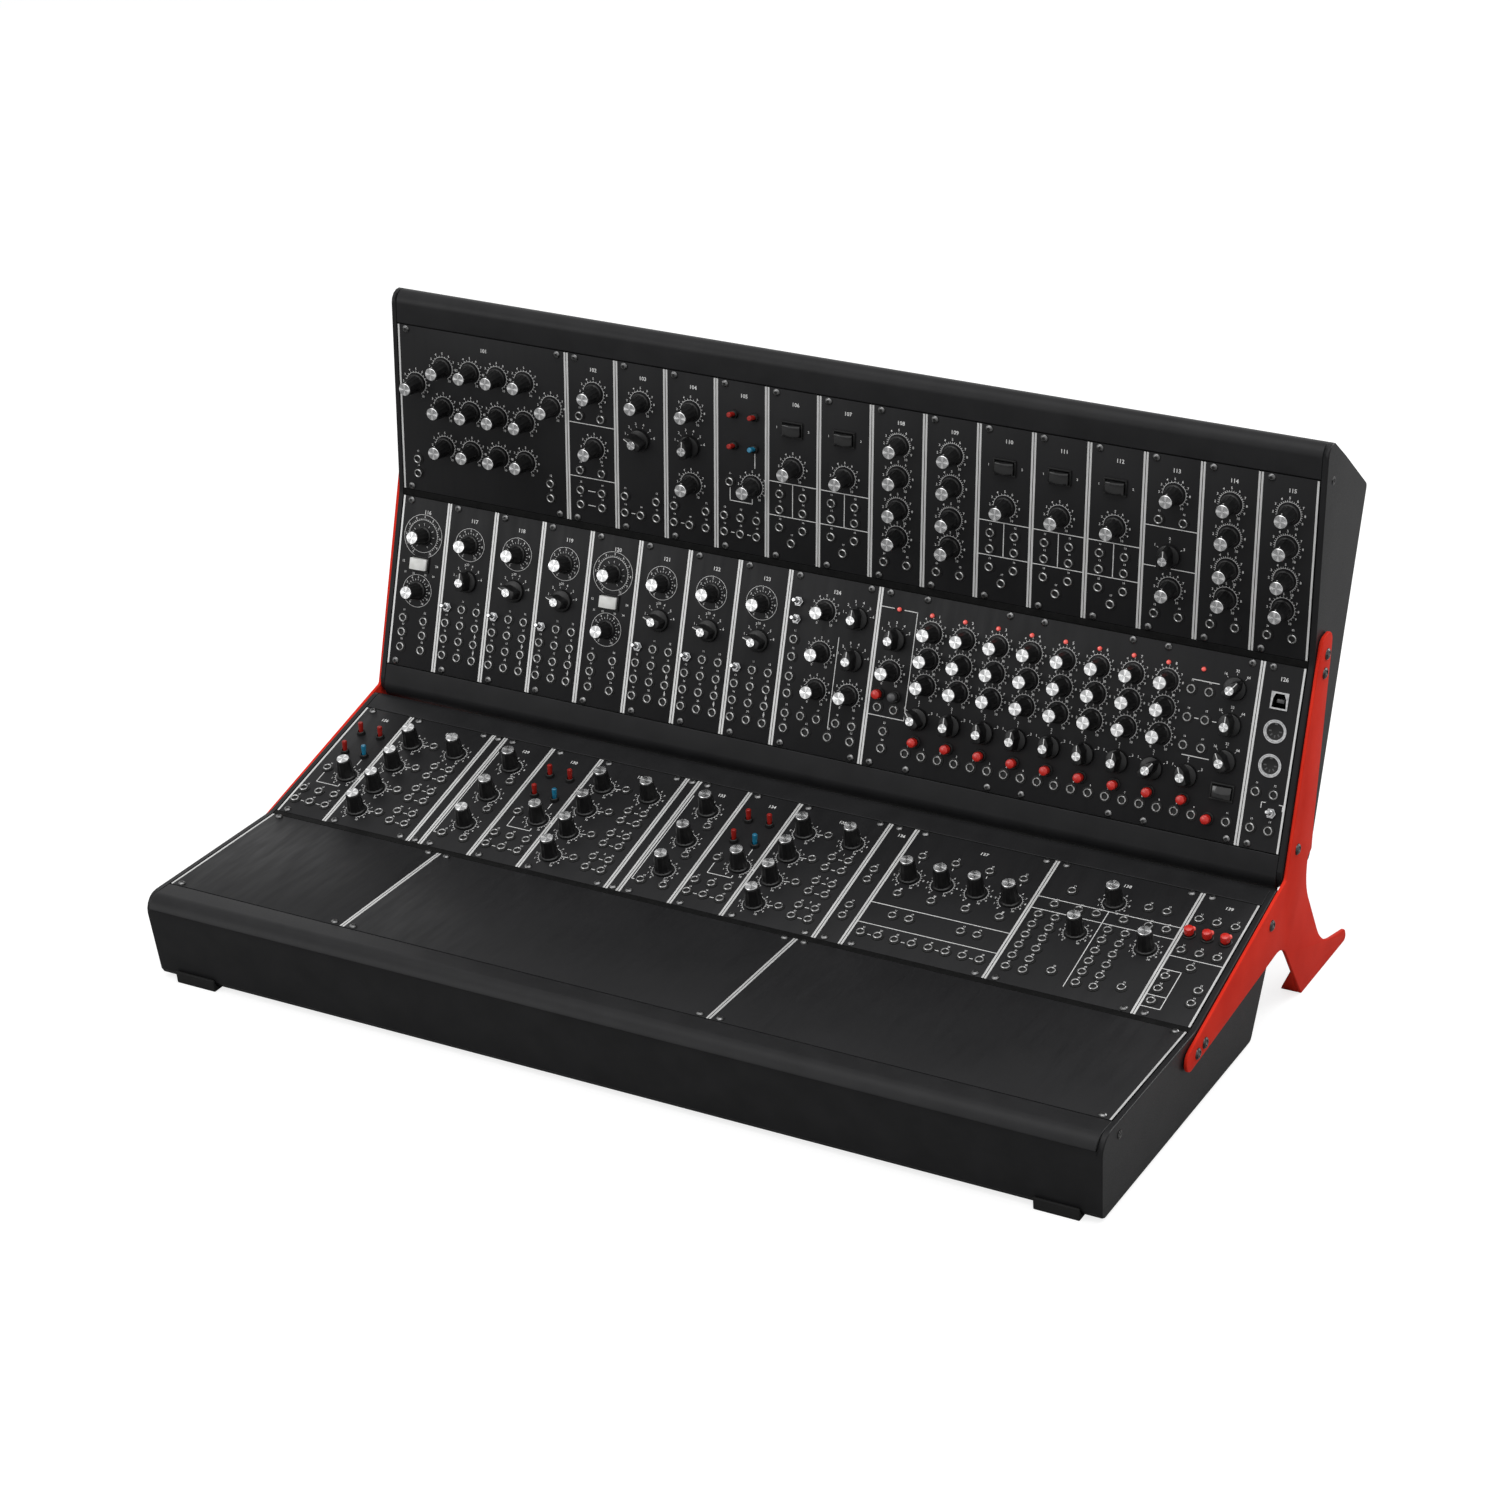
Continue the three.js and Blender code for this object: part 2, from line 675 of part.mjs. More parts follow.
filterBank(1, 0);
filters(1, 28);
highPass(1, 36);
lowPass(1, 44);
controlVoltages(1, 52);
amplifier(1, 60, 'amplifier_rocker');
[68, 92, 100, 108].forEach((at) => amplifier(1, at));
envelope(1, 76, 'envelope_knob');
[84, 124, 132].forEach((at) => envelope(1, at));
triggerDelay(1, 116);
oscillatorDriver(2, 0, 'driver_knob', 'driver_rocker');
oscillatorDriver(2, 32);
oscillator(2, 8, 'oscillator_range_selector', 'oscillator_toggle');
[16, 24, 40, 48, 56].forEach((at) => oscillator(2, at));
voltageOscillator(2, 64);
sequencer(2, 78);
converter(2, converterFrom);
[0, 32, 64].forEach((at) => oscillatorController(3, at));
mixer(3, 8, 'mixer_knob');
[40, 72].forEach((at) => mixer(3, at));
[24, 56].forEach((at) => attenuators(3, at));
wideAttenuators(3, 90);
interfacePanel(3, 111);
sequentialSwitch(3, 132);

// A panel between two places in units, with its fastened controls on and the moving ones' holes cut
function panelGeometry(row, from, to) {
  const left = (from - rowUnits / 2) * unit + panelSideGap;
  const right = (to - rowUnits / 2) * unit - panelSideGap;
  let shape = solid(block([left, 0, -panelThickness], [right, panelHeight, 0]));
  const here = controls.filter((item) => item.row === row && item.x > left && item.x < right);
  here.forEach((item) => {
    const place = [item.x, item.up, 0];
    shape = item.name
      ? shape.subtract(solid(holes[item.kind]().translate(...place)))
      : shape.add(controlSolids[item.kind](fastenedKnobSides, false).translate(place));
  });
  return shape;
}

// Converter panel: the sockets stand behind it and open at its face
function converterGeometry(row, from, to) {
  let shape = panelGeometry(row, from, to);
  const left = (from - rowUnits / 2) * unit;
  const [usbX, usbUp] = [left + usbPlace[0] * unit, usbPlace[1] * upStep];
  const halves = [usbWidth / 2, usbHeight / 2];
  shape = shape.add(solid(block(
    [usbX - halves[0] - socketWall, usbUp - halves[1] - socketWall, -usbDepth - socketWall],
    [usbX + halves[0] + socketWall, usbUp + halves[1] + socketWall, -panelThickness / 2])));
  shape = shape.subtract(solid(block(
    [usbX - halves[0], usbUp - halves[1], -usbDepth], [usbX + halves[0], usbUp + halves[1], 1])));
  dinPlaces.forEach(([units, up]) => {
    const place = [left + units * unit, up * upStep, 0];
    shape = shape.add(solid(bar(dinRadius + socketWall, dinRadius + socketWall, -dinDepth - socketWall,
      -panelThickness / 2, turningSides).translate(...place)));
    shape = shape.subtract(solid(bar(dinRadius, dinRadius, -dinDepth, 1, turningSides).translate(...place)));
  });
  return shape;
}

// Circuit board behind a row: the potentiometer bodies reach up to the panels
function circuitBoardGeometry(from, to) {
  const left = (from - rowUnits / 2) * unit + boardEnd;
  const right = (to - rowUnits / 2) * unit - boardEnd;
  let shape = solid(block(
    [left, boardMargin, -boardDrop - boardThickness], [right, panelHeight - boardMargin, -boardDrop]));
  for (let i = 0; i < postCount; i += 1) {
    const x = left + (i + 0.5) * (right - left) / postCount;
    [0.3, 0.7].forEach((share) => {
      shape = shape.add(solid(block(
        [x - postSize / 2, panelHeight * share - postSize / 2, -boardDrop - boardThickness / 2],
        [x + postSize / 2, panelHeight * share + postSize / 2, ledgeTop])));
    });
  }
  return geometryOf(shape);
}

// Bus board on posts on the case floor
function busBoardGeometry() {
  const floor = -caseDepth + sheetThickness + seatGap;
  const busBoardY = supplyFront - busBoardGap - busBoardWidth;
  let shape = solid(block(
    [-busBoardLength / 2, busBoardY, floor + busPostHeight],
    [busBoardLength / 2, busBoardY + busBoardWidth, floor + busPostHeight + boardThickness]));
  for (let i = 0; i < busPostCount; i += 1) {
    const x = (i - (busPostCount - 1) / 2) * (busBoardLength - 2 * postSize) / (busPostCount - 1);
    [0.2, 0.8].forEach((share) => {
      shape = shape.add(solid(bar(3, 3, floor, floor + busPostHeight + boardThickness / 2, 6)
        .translate(x, busBoardY + busBoardWidth * share, 0)));
    });
  }
  return geometryOf(shape);
}

function supplyGeometry() {
  const floor = -caseDepth + sheetThickness + seatGap;
  return block([supplyX, supplyFront, floor],
    [supplyX + supplyWidth, supplyFront + supplyLength, floor + supplyHeight]);
}

// Power inlet: flange, body, the socket with its pin block, and the well of the switch
function inletGeometry() {
  const halves = [inletBodyWidth / 2 + inletRim, inletBodyHeight / 2 + inletRim];
  let shape = solid(block(
    [-halves[0], -halves[1], seatGap], [halves[0], halves[1], seatGap + inletFlange]));
  shape = shape.add(solid(block(
    [-inletBodyWidth / 2, -inletBodyHeight / 2, -inletBodyDepth],
    [inletBodyWidth / 2, inletBodyHeight / 2, seatGap + inletFlange / 2])));
  shape = shape.subtract(solid(block(
    [socketOffset - socketWidth / 2, -socketHeight / 2, -socketDepth],
    [socketOffset + socketWidth / 2, socketHeight / 2, 2 * inletFlange + 1])));
  return geometryOf(shape.subtract(solid(block(
    [powerSwitchOffset - powerSwitchWidth / 2 - rockerGap, -powerSwitchHeight / 2 - rockerGap,
      -powerSwitchDepth - 2 * rockerGap],
    [powerSwitchOffset + powerSwitchWidth / 2 + rockerGap, powerSwitchHeight / 2 + rockerGap,
      2 * inletFlange + 1]))));
}

function powerSwitchGeometry() {
  return block([-powerSwitchWidth / 2, -powerSwitchHeight / 2, -powerSwitchDepth],
    [powerSwitchWidth / 2, powerSwitchHeight / 2, powerSwitchProud]);
}

const root = new THREE.Group();
const assembly = new THREE.Group();
root.add(assembly);

// One case with its two row frames; every case is built alike
function buildCase(prefix, y, z, tilt) {
  const body = new THREE.Group();
  body.position.set(0, y, z);
  body.rotation.x = radians(tilt);
  assembly.add(body);
  piece(`${prefix}_case_pan`, panGeometry(), 'body', body);
  piece(`${prefix}_front_lip`, frontLipGeometry(), 'body', body);
  piece(`${prefix}_middle_rail`, middleRailGeometry(), 'body', body);
  piece(`${prefix}_rear_lip`, rearLipGeometry(), 'body', body);
  piece(`${prefix}_left_cheek`, cheekGeometry(-cheekX - cheekThickness, -cheekX), 'body', body);
  piece(`${prefix}_right_cheek`, cheekGeometry(cheekX, cheekX + cheekThickness), 'body', body);
  piece(`${prefix}_bus_board`, busBoardGeometry(), 'board', body);
  piece(`${prefix}_power_supply`, supplyGeometry(), 'steel', body);
  const inlet = new THREE.Group();
  inlet.applyMatrix4(inletPlace());
  body.add(inlet);
  piece(`${prefix}_power_inlet`, inletGeometry(), 'black', inlet);
  const powerSwitch = piece(`${prefix}_power_switch`, powerSwitchGeometry(), 'black', inlet);
  powerSwitch.position.set(powerSwitchOffset, 0, 0);
  const nearRow = new THREE.Group();
  const farRow = new THREE.Group();
  farRow.position.set(0, upperRow.y, upperRow.z);
  farRow.rotation.x = radians(rowBend);
  body.add(nearRow, farRow);
  return [nearRow, farRow, body];
}

const [rowFour, rowThree, lowerBody] = buildCase('lower', 0, 0, 0);
const [rowTwo, rowOne] = buildCase('upper', upperCaseY, upperCaseZ, upperCaseTilt);
const rows = { 1: rowOne, 2: rowTwo, 3: rowThree, 4: rowFour };

[[-1, 'left'], [1, 'right']].forEach(([side, word]) => {
  piece(`${word}_bracket`, bracketGeometry(side), 'bracket', assembly);
  const fromX = side * (rowWidth / 2 - footInset - footWidth / 2) - footWidth / 2;
  piece(`front_${word}_foot`, frontFootGeometry(fromX), 'rubber', lowerBody);
  piece(`rear_${word}_foot`, rearFootGeometry(fromX), 'rubber', lowerBody);
});

// Panels, from one place in units to another
function panel(name, row, from, to) {
  piece(name, geometryOf(panelGeometry(row, from, to)), 'panel', rows[row]);
}
panel('filter_bank_panel', 1, 0, 28);
panel('filter_and_envelope_panels', 1, 28, 92);
panel('amplifier_and_delay_panels', 1, 92, rowUnits);
panel('oscillator_panels', 2, 0, 64);
panel('wide_oscillator_panel', 2, 64, 78);
panel('sequencer_panel', 2, 78, converterFrom);
panel('controller_and_mixer_panels', 3, 0, 90);
panel('attenuator_and_interface_panels', 3, 90, rowUnits);
panel('left_blank_panel', 4, 0, 28);
panel('middle_blank_panel', 4, 28, 84);
panel('right_blank_panel', 4, 84, rowUnits);
piece('converter_panel', geometryOf(converterGeometry(2, converterFrom, rowUnits)), 'panel', rowTwo);

piece('top_row_circuit_board', circuitBoardGeometry(0, rowUnits), 'board', rowOne);
piece('second_row_circuit_board', circuitBoardGeometry(0, converterFrom), 'board', rowTwo);
piece('third_row_circuit_board', circuitBoardGeometry(0, rowUnits), 'board', rowThree);

// The moving controls, each turned about or slid along its own origin
controls.filter((item) => item.name).forEach((item) => {
  const shape = controlSolids[item.kind](turningSides, true);
  const mesh = piece(item.name, geometryOf(shape), item.finish, rows[item.row]);
  mesh.position.set(item.x, item.up, 0);
  if (item.kind === 'lever') {
    mesh.rotation.x = -radians(leverTilt);
  }
  if (item.kind === 'rocker') {
    mesh.rotation.y = radians(item.tilt);
  }
});

// Stand the whole on the floor, with its origin under the middle
assembly.updateMatrixWorld(true);
const bounds = new THREE.Box3().setFromObject(assembly, true);
const middle = bounds.getCenter(new THREE.Vector3());
assembly.position.set(0, -middle.y, -bounds.min.z);

const group = root;
export default group;
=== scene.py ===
import math
from collections import defaultdict, namedtuple

import bmesh
import bpy
from mathutils import Matrix, Vector

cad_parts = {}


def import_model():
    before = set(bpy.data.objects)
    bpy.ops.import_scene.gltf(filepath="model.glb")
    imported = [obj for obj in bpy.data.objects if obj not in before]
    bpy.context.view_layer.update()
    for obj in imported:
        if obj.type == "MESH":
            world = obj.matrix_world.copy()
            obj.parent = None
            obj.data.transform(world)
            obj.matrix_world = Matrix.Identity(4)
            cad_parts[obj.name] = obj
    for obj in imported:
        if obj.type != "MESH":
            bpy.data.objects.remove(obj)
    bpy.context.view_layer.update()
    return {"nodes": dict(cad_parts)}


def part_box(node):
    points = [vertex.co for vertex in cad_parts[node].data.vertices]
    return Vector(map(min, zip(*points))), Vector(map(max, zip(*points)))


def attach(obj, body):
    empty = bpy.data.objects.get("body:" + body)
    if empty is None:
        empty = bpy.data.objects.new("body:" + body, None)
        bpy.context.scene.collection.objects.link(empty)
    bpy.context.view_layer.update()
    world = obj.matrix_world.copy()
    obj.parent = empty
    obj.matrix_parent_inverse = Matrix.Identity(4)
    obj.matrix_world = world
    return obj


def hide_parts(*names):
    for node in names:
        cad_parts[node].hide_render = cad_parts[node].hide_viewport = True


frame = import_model()
scene = bpy.context.scene

# Rack standard and the line of the cases, in millimetres
MM = 0.001
UNIT = 5.08
ROW_UNITS = 140
PANEL_HEIGHT = 128.5
PANEL_THICKNESS = 2
PANEL_GAP = 0.15
RAIL_WIDTH = 5.4
ROW_BEND = 15
UPPER_CASE_TILT = 75.4
HALF_ROW = ROW_UNITS * UNIT / 2
CHEEK_INNER = HALF_ROW + 0.8
CHEEK_OUTER = CHEEK_INNER + 3.9
BRACKET_INNER = CHEEK_OUTER + 0.3
BRACKET_THICKNESS = 2.5
CASE_DEPTH = 66
CASE_TAPER = 2.4
FRONT_LIP_DEPTH = 9.4
LIP_GAP = 0.3
LIP_SHIFT = 0.5
SEAM_LINE = 0.6
EDGE_ROUNDING = 1.1

# The lower case's corner is the front edge of its blank panels. The upper case's is set from it.
blank_low, blank_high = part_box("left_blank_panel")
LOWER_CASE = Vector((blank_low.y / MM, blank_high.z / MM))
UPPER_CASE = LOWER_CASE + Vector((288.4, 59.1))

# Silver stripes along the panels, panel screws and printing
STRIPE_WIDTH = 1.45
STRIPE_LENGTH = PANEL_HEIGHT - 0.3
STRIPE_MIDDLE = PANEL_GAP + 0.12 + STRIPE_WIDTH / 2
STRIPE_OUT = 0.02
PRINT_OUT = 0.04
LINE_WIDTH = 0.6
LINE_INSET = 0.4
TITLE_UP = 118.4
TITLE_SIZE = 2.9
JACK_NUMBER_RISE = 6
JACK_NUMBER_SIZE = 1.4
SCREW_INSET = 7.4
SCREW_UPS = (3.1, 125.7)

# Controls
KNOB_SIDES = 24
FLUTE_SCALE = 0.93
LEVER_TILT = 12
ROCKER_TILT = 8
KNOB_SWEEP = 300
BUTTON_LIFT = 1.9

# Bends in degrees: below the first a surface shades smooth, above the second a case's edge is rounded
SMOOTH_BEND = 35
CASE_BEND = 38


def tone(code):
    """A colour written as the eye sees it, as the shader needs it."""
    parts = [int(code[i:i + 2], 16) / 255 for i in (1, 3, 5)]
    return (*(c / 12.92 if c <= 0.04045 else ((c + 0.055) / 1.055) ** 2.4 for c in parts), 1)


# Finishes

def wire(tree, node, inputs):
    """Sets a node's inputs: each is a number or a colour, or the output of another node."""
    for socket, value in inputs.items():
        if isinstance(value, bpy.types.NodeSocket):
            tree.links.new(value, node.inputs[socket])
        else:
            node.inputs[socket].default_value = value


def outputs_of(tree, kind, inputs=None, **settings):
    """The outputs of a new node."""
    node = tree.nodes.new("ShaderNode" + kind)
    for key, value in settings.items():
        setattr(node, key, value)
    wire(tree, node, inputs or {})
    return node.outputs


class Finish:
    """A material on object coordinates: mottled colour, uneven roughness and a fine relief."""

    def __init__(self, name, **fixed):
        self.material = bpy.data.materials.new(name)
        self.material.use_nodes = True
        self.tree = self.material.node_tree
        self.coordinates = self.node("TexCoord")["Object"]
        self.feed(**fixed)

    def node(self, kind, inputs=None, **settings):
        return outputs_of(self.tree, kind, inputs, **settings)

    def feed(self, **sockets):
        """Sets sockets of the shader, by their names in small letters."""
        named = {name.replace("_", " ").title().replace("Ior", "IOR"): value for name, value in sockets.items()}
        wire(self.tree, self.tree.nodes["Principled BSDF"], named)

    def noise(self, scale, stretch=(1, 1, 1), detail=3.0, source=None):
        """Noise whose grains are about 1/scale metres, drawn out where stretch is small."""
        mapped = self.node("Mapping", {"Scale": stretch, "Vector": source or self.coordinates})["Vector"]
        return self.node("TexNoise", {"Scale": scale, "Detail": detail, "Vector": mapped})["Fac"]

    def spread(self, factor, low, high, reach=(0.3, 0.7)):
        return self.node("MapRange", {"From Min": reach[0], "From Max": reach[1], "To Min": low,
                                      "To Max": high, "Value": factor})["Result"]

    def mix(self, factor, first, second):
        """A colour between two, each a code or an output."""
        first, second = (tone(end) if isinstance(end, str) else end for end in (first, second))
        return self.node("Mix", {0: factor, 6: first, 7: second}, data_type="RGBA")[2]

    def colour(self, factor, first, second):
        self.feed(base_color=self.mix(self.spread(factor, 0, 1), first, second))

    def rough(self, factor, low, high):
        self.feed(roughness=self.spread(factor, low, high))

    def relief(self, factor, strength, distance):
        self.feed(normal=self.node("Bump", {"Strength": strength, "Distance": distance,
                                            "Height": factor})["Normal"])


def panel_finish():
    """Black anodised sheet, brushed up and down the panel."""
    finish = Finish("black_brushed_sheet", specular_ior_level=0.14)
    brushed = finish.noise(260, (9, 0.12, 0.12), 4)
    finish.colour(finish.noise(14, detail=2), finish.mix(brushed, "#1a1a1b", "#1d1d1e"), "#202021")
    finish.rough(finish.noise(60, (3, 0.4, 0.4)), 0.42, 0.58)
    finish.relief(brushed, 0.04, 0.0001)
    return finish.material


def skin_finish(name, dark, light, low, high, cloud=220, grain=900, detail=3.0, relief=(0.06, 0.0002),
                stretch=(1, 1, 1), **fixed):
    """Clouded colour under a finer uneven skin, as on moulded plastic, powder coat, metal or ink."""
    finish = Finish(name, **fixed)
    finish.colour(finish.noise(cloud, stretch), dark, light)
    skin = finish.noise(grain, stretch, detail)
    finish.rough(skin, low, high)
    if relief:
        finish.relief(skin, *relief)
    return finish.material


def metal_finish(name, dark, light, low, high, stretch=(1, 1, 1)):
    return skin_finish(name, dark, light, low, high, 500, 500, relief=(0.08, 0.0001), stretch=stretch,
                       metallic=1.0)


def spun_finish():
    """Aluminium faced on a lathe: fine rings, and four bright fans of painted highlight drawn across them."""
    finish = Finish("spun_aluminium_painted_highlights", metallic=1.0, anisotropic=0.85)
    around = finish.node("UVMap", uv_map="Round")["UV"]
    rings = finish.noise(1, (0.01, 160, 1), 3, around)
    # Painted highlight: the colour goes towards white in four fans round the cap, fixed whatever the light.
    angle = finish.node("SeparateXYZ", {0: around})["X"]
    turns = finish.node("Math", {0: angle, 1: 8 * math.pi}, operation="MULTIPLY")[0]
    painted_highlight_fan = finish.node("Math", {0: turns}, operation="COSINE")[0]
    ground = finish.mix(finish.spread(rings, 0, 1), "#a6a7a8", "#c4c4c4")
    finish.feed(base_color=finish.mix(finish.spread(painted_highlight_fan, 0, 0.85, (0.1, 1)), ground, "#ffffff"),
                tangent=finish.node("Tangent", direction_type="UV_MAP", uv_map="Round")["Tangent"])
    finish.rough(rings, 0.2, 0.32)
    finish.relief(rings, 0.1, 0.00005)
    return finish.material


def board_finish():
    """Green circuit board with copper traces under its lacquer."""
    finish = Finish("green_circuit_board", coat_weight=0.4)
    edges = finish.node("TexVoronoi", {"Vector": finish.coordinates, "Scale": 260},
                        distance="CHEBYCHEV", feature="DISTANCE_TO_EDGE")["Distance"]
    traces = finish.spread(edges, 1, 0, (0.04, 0.07))
    green = finish.mix(finish.noise(120), "#17492a", "#1f5f37")
    finish.feed(base_color=finish.mix(traces, green, "#3c7a45"))
    finish.rough(finish.noise(300), 0.3, 0.45)
    finish.relief(traces, 0.2, 0.00003)
    return finish.material


PANEL = panel_finish()
BODY = skin_finish("dark_powder_coat", "#1c1c1d", "#222223", 0.36, 0.46, 45, 1500, 2.0, (0.08, 0.0002),
                   specular_ior_level=0.14)
BRACKET = skin_finish("red_powder_coat", "#d82f20", "#e53828", 0.34, 0.46, 30, 1300, 2.0, (0.12, 0.00025),
                      specular_ior_level=0.02)
KNOB = skin_finish("black_knob_plastic", "#0f0f10", "#191919", 0.3, 0.42, specular_ior_level=0.3)
GLOSS = skin_finish("black_gloss_plastic", "#101011", "#181818", 0.12, 0.2, coat_weight=0.3)
# Black dull plastic; also used for the black discs and hexagons that are painted shade in jack bores, round
# jack nuts and in screw sockets.
DULL_BLACK_AND_SHADE = skin_finish("black_dull_plastic_and_painted_shade", "#0b0b0b", "#131313", 0.45, 0.6, specular_ior_level=0.3)
WHITE = skin_finish("white_plastic", "#dcdcd8", "#ececea", 0.3, 0.4)
RAIL = skin_finish("black_rail_sheet", "#0e0e0e", "#151515", 0.5, 0.65, specular_ior_level=0.06)
RED = skin_finish("red_plastic", "#c01d16", "#d22b21", 0.25, 0.36, coat_weight=0.15)
LEVER_RED = skin_finish("dark_red_plastic", "#86160f", "#981f18", 0.3, 0.42, specular_ior_level=0.25)
BLUE = skin_finish("blue_plastic", "#0c5d7c", "#157799", 0.25, 0.36, coat_weight=0.15)
GREY = skin_finish("grey_plastic", "#3f3f40", "#4c4c4d", 0.3, 0.42)
SPUN = spun_finish()
NUT = metal_finish("nickel_nut", "#858585", "#b2b2b1", 0.22, 0.36)
CHROME = metal_finish("bright_nickel", "#97989a", "#c2c2c2", 0.12, 0.22)
STEEL = metal_finish("zinc_plated_steel", "#85888b", "#a2a5a7", 0.3, 0.45, (1, 0.2, 1))
DARK_STEEL = metal_finish("blackened_steel", "#2c2c2c", "#5c5c5c", 0.22, 0.36)
SCREW_STEEL = metal_finish("dull_screw_steel", "#4c4c4c", "#808080", 0.25, 0.4)
PRINT = skin_finish("white_print", "#c9c9c8", "#e9e9e8", 0.5, 0.65, 1800, 400, relief=None,
                    specular_ior_level=0.3)
STRIPE = skin_finish("bare_aluminium_edge", "#c2c2c1", "#e2e2e1", 0.35, 0.5, 420, 420, relief=None,
                     stretch=(8, 0.1, 0.1), metallic=0.35, specular_ior_level=0.4)
LAMP = skin_finish("red_lamp_lens", "#e0483f", "#f2756c", 0.15, 0.25, 700, 500, relief=None,
                   coat_weight=0.6, emission_color=tone("#ff5a52"), emission_strength=0.25)
BOARD = board_finish()
RUBBER = skin_finish("black_rubber", "#161616", "#202020", 0.75, 0.9, 2200, 2200, relief=(0.3, 0.0003),
                     specular_ior_level=0.25)


# Making meshes

def as_mesh(name, shape):
    mesh = bpy.data.meshes.new(name)
    shape.to_mesh(mesh)
    shape.free()
    return mesh


def joined(name, *meshes):
    return merged(name, [(mesh, Matrix()) for mesh in meshes])


def smooth_mesh(name, shape, angle=SMOOTH_BEND):
    """A mesh that shades smooth where it bends less than the angle."""
    for face in shape.faces:
        face.smooth = True
    mesh = as_mesh(name, shape)
    mesh.set_sharp_from_angle(angle=math.radians(angle))
    return mesh


def mesh_of(name, shape, angle=SMOOTH_BEND):
    """A smooth mesh whose faces point outwards."""
    bmesh.ops.recalc_face_normals(shape, faces=shape.faces)
    return smooth_mesh(name, shape, angle)


def lathe(profile, sides):
    """A turned form: the profile is radius and height, from the axis to the axis or closed."""
    shape = bmesh.new()
    points = [shape.verts.new((radius, 0, height)) for radius, height in profile]
    edges = [shape.edges.new(pair) for pair in zip(points, points[1:])]
    bmesh.ops.spin(shape, geom=points + edges, axis=(0, 0, 1), cent=(0, 0, 0),
                   angle=2 * math.pi, steps=sides, use_merge=True)
    bmesh.ops.remove_doubles(shape, verts=shape.verts, dist=1e-4)
    return shape


def sharp_edges(shape, angle):
    return [edge for edge in shape.edges
            if len(edge.link_faces) == 2 and edge.calc_face_angle() > math.radians(angle)]


def round_edges(shape, edges, width, segments):
    bmesh.ops.bevel(shape, geom=edges, offset=width, segments=segments, profile=0.5, affect="EDGES",
                    clamp_overlap=True, material=-1)
    return shape


def bevelled(shape, width, segments=2, angle=40):
    """The shape with its sharp edges rounded, if the width says so."""
    return round_edges(shape, sharp_edges(shape, angle), width, segments) if width else shape


def block(size, centre=(0, 0, 0), bevel=0.0):
    shape = bmesh.new()
    bmesh.ops.create_cube(shape, size=1)
    bmesh.ops.scale(shape, vec=size, verts=shape.verts)
    bmesh.ops.translate(shape, vec=centre, verts=shape.verts)
    return bevelled(shape, bevel)


def raised(corners, rise, bevel=0.0, segments=2):
    """A flat face and its body, raised along a vector."""
    shape = bmesh.new()
    face = shape.faces.new([shape.verts.new(corner) for corner in corners])
    grown = bmesh.ops.extrude_face_region(shape, geom=[face])["geom"]
    bmesh.ops.translate(shape, vec=rise,
                        verts=[item for item in grown if isinstance(item, bmesh.types.BMVert)])
    bmesh.ops.recalc_face_normals(shape, faces=shape.faces)
    return bevelled(shape, bevel, segments)


def prism(outline, depth, bevel=0.0, segments=2):
    """An outline in X and Y, raised by depth along Z."""
    return raised([(*point, 0) for point in outline], (0, 0, depth), bevel, segments)


def merged(name, places):
    """One mesh from many: each place is a mesh and the matrix that puts it there."""
    shape = bmesh.new()
    for mesh, matrix in places:
        copy = mesh.copy()
        copy.transform(matrix)
        shape.from_mesh(copy)
        bpy.data.meshes.remove(copy)
    return as_mesh(name, shape)


def added(name, data):
    thing = bpy.data.objects.new(name, data)
    scene.collection.objects.link(thing)
    return thing


def piece(name, mesh, material, body, slot, *replaced):
    """A finished piece of the object that rides on a body."""
    thing = added(name, mesh)
    mesh.materials.clear()
    mesh.materials.append(material)
    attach(thing, body)
    if replaced:
        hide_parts(*replaced)
    return thing


def polar_uv(shape, name="Round"):
    """A UV map that runs round a turned form in U and out from its axis in V."""
    layer = shape.loops.layers.uv.new(name)
    for face in shape.faces:
        middle = face.calc_center_median()
        around = math.atan2(middle.y, middle.x)
        for loop in face.loops:
            place = loop.vert.co
            radius = math.hypot(place.x, place.y)
            angle = around
            if radius > 0.01:
                angle = math.atan2(place.y, place.x)
                angle += 2 * math.pi * round((around - angle) / (2 * math.pi))
            loop[layer].uv = (angle / (2 * math.pi), radius)
    return shape


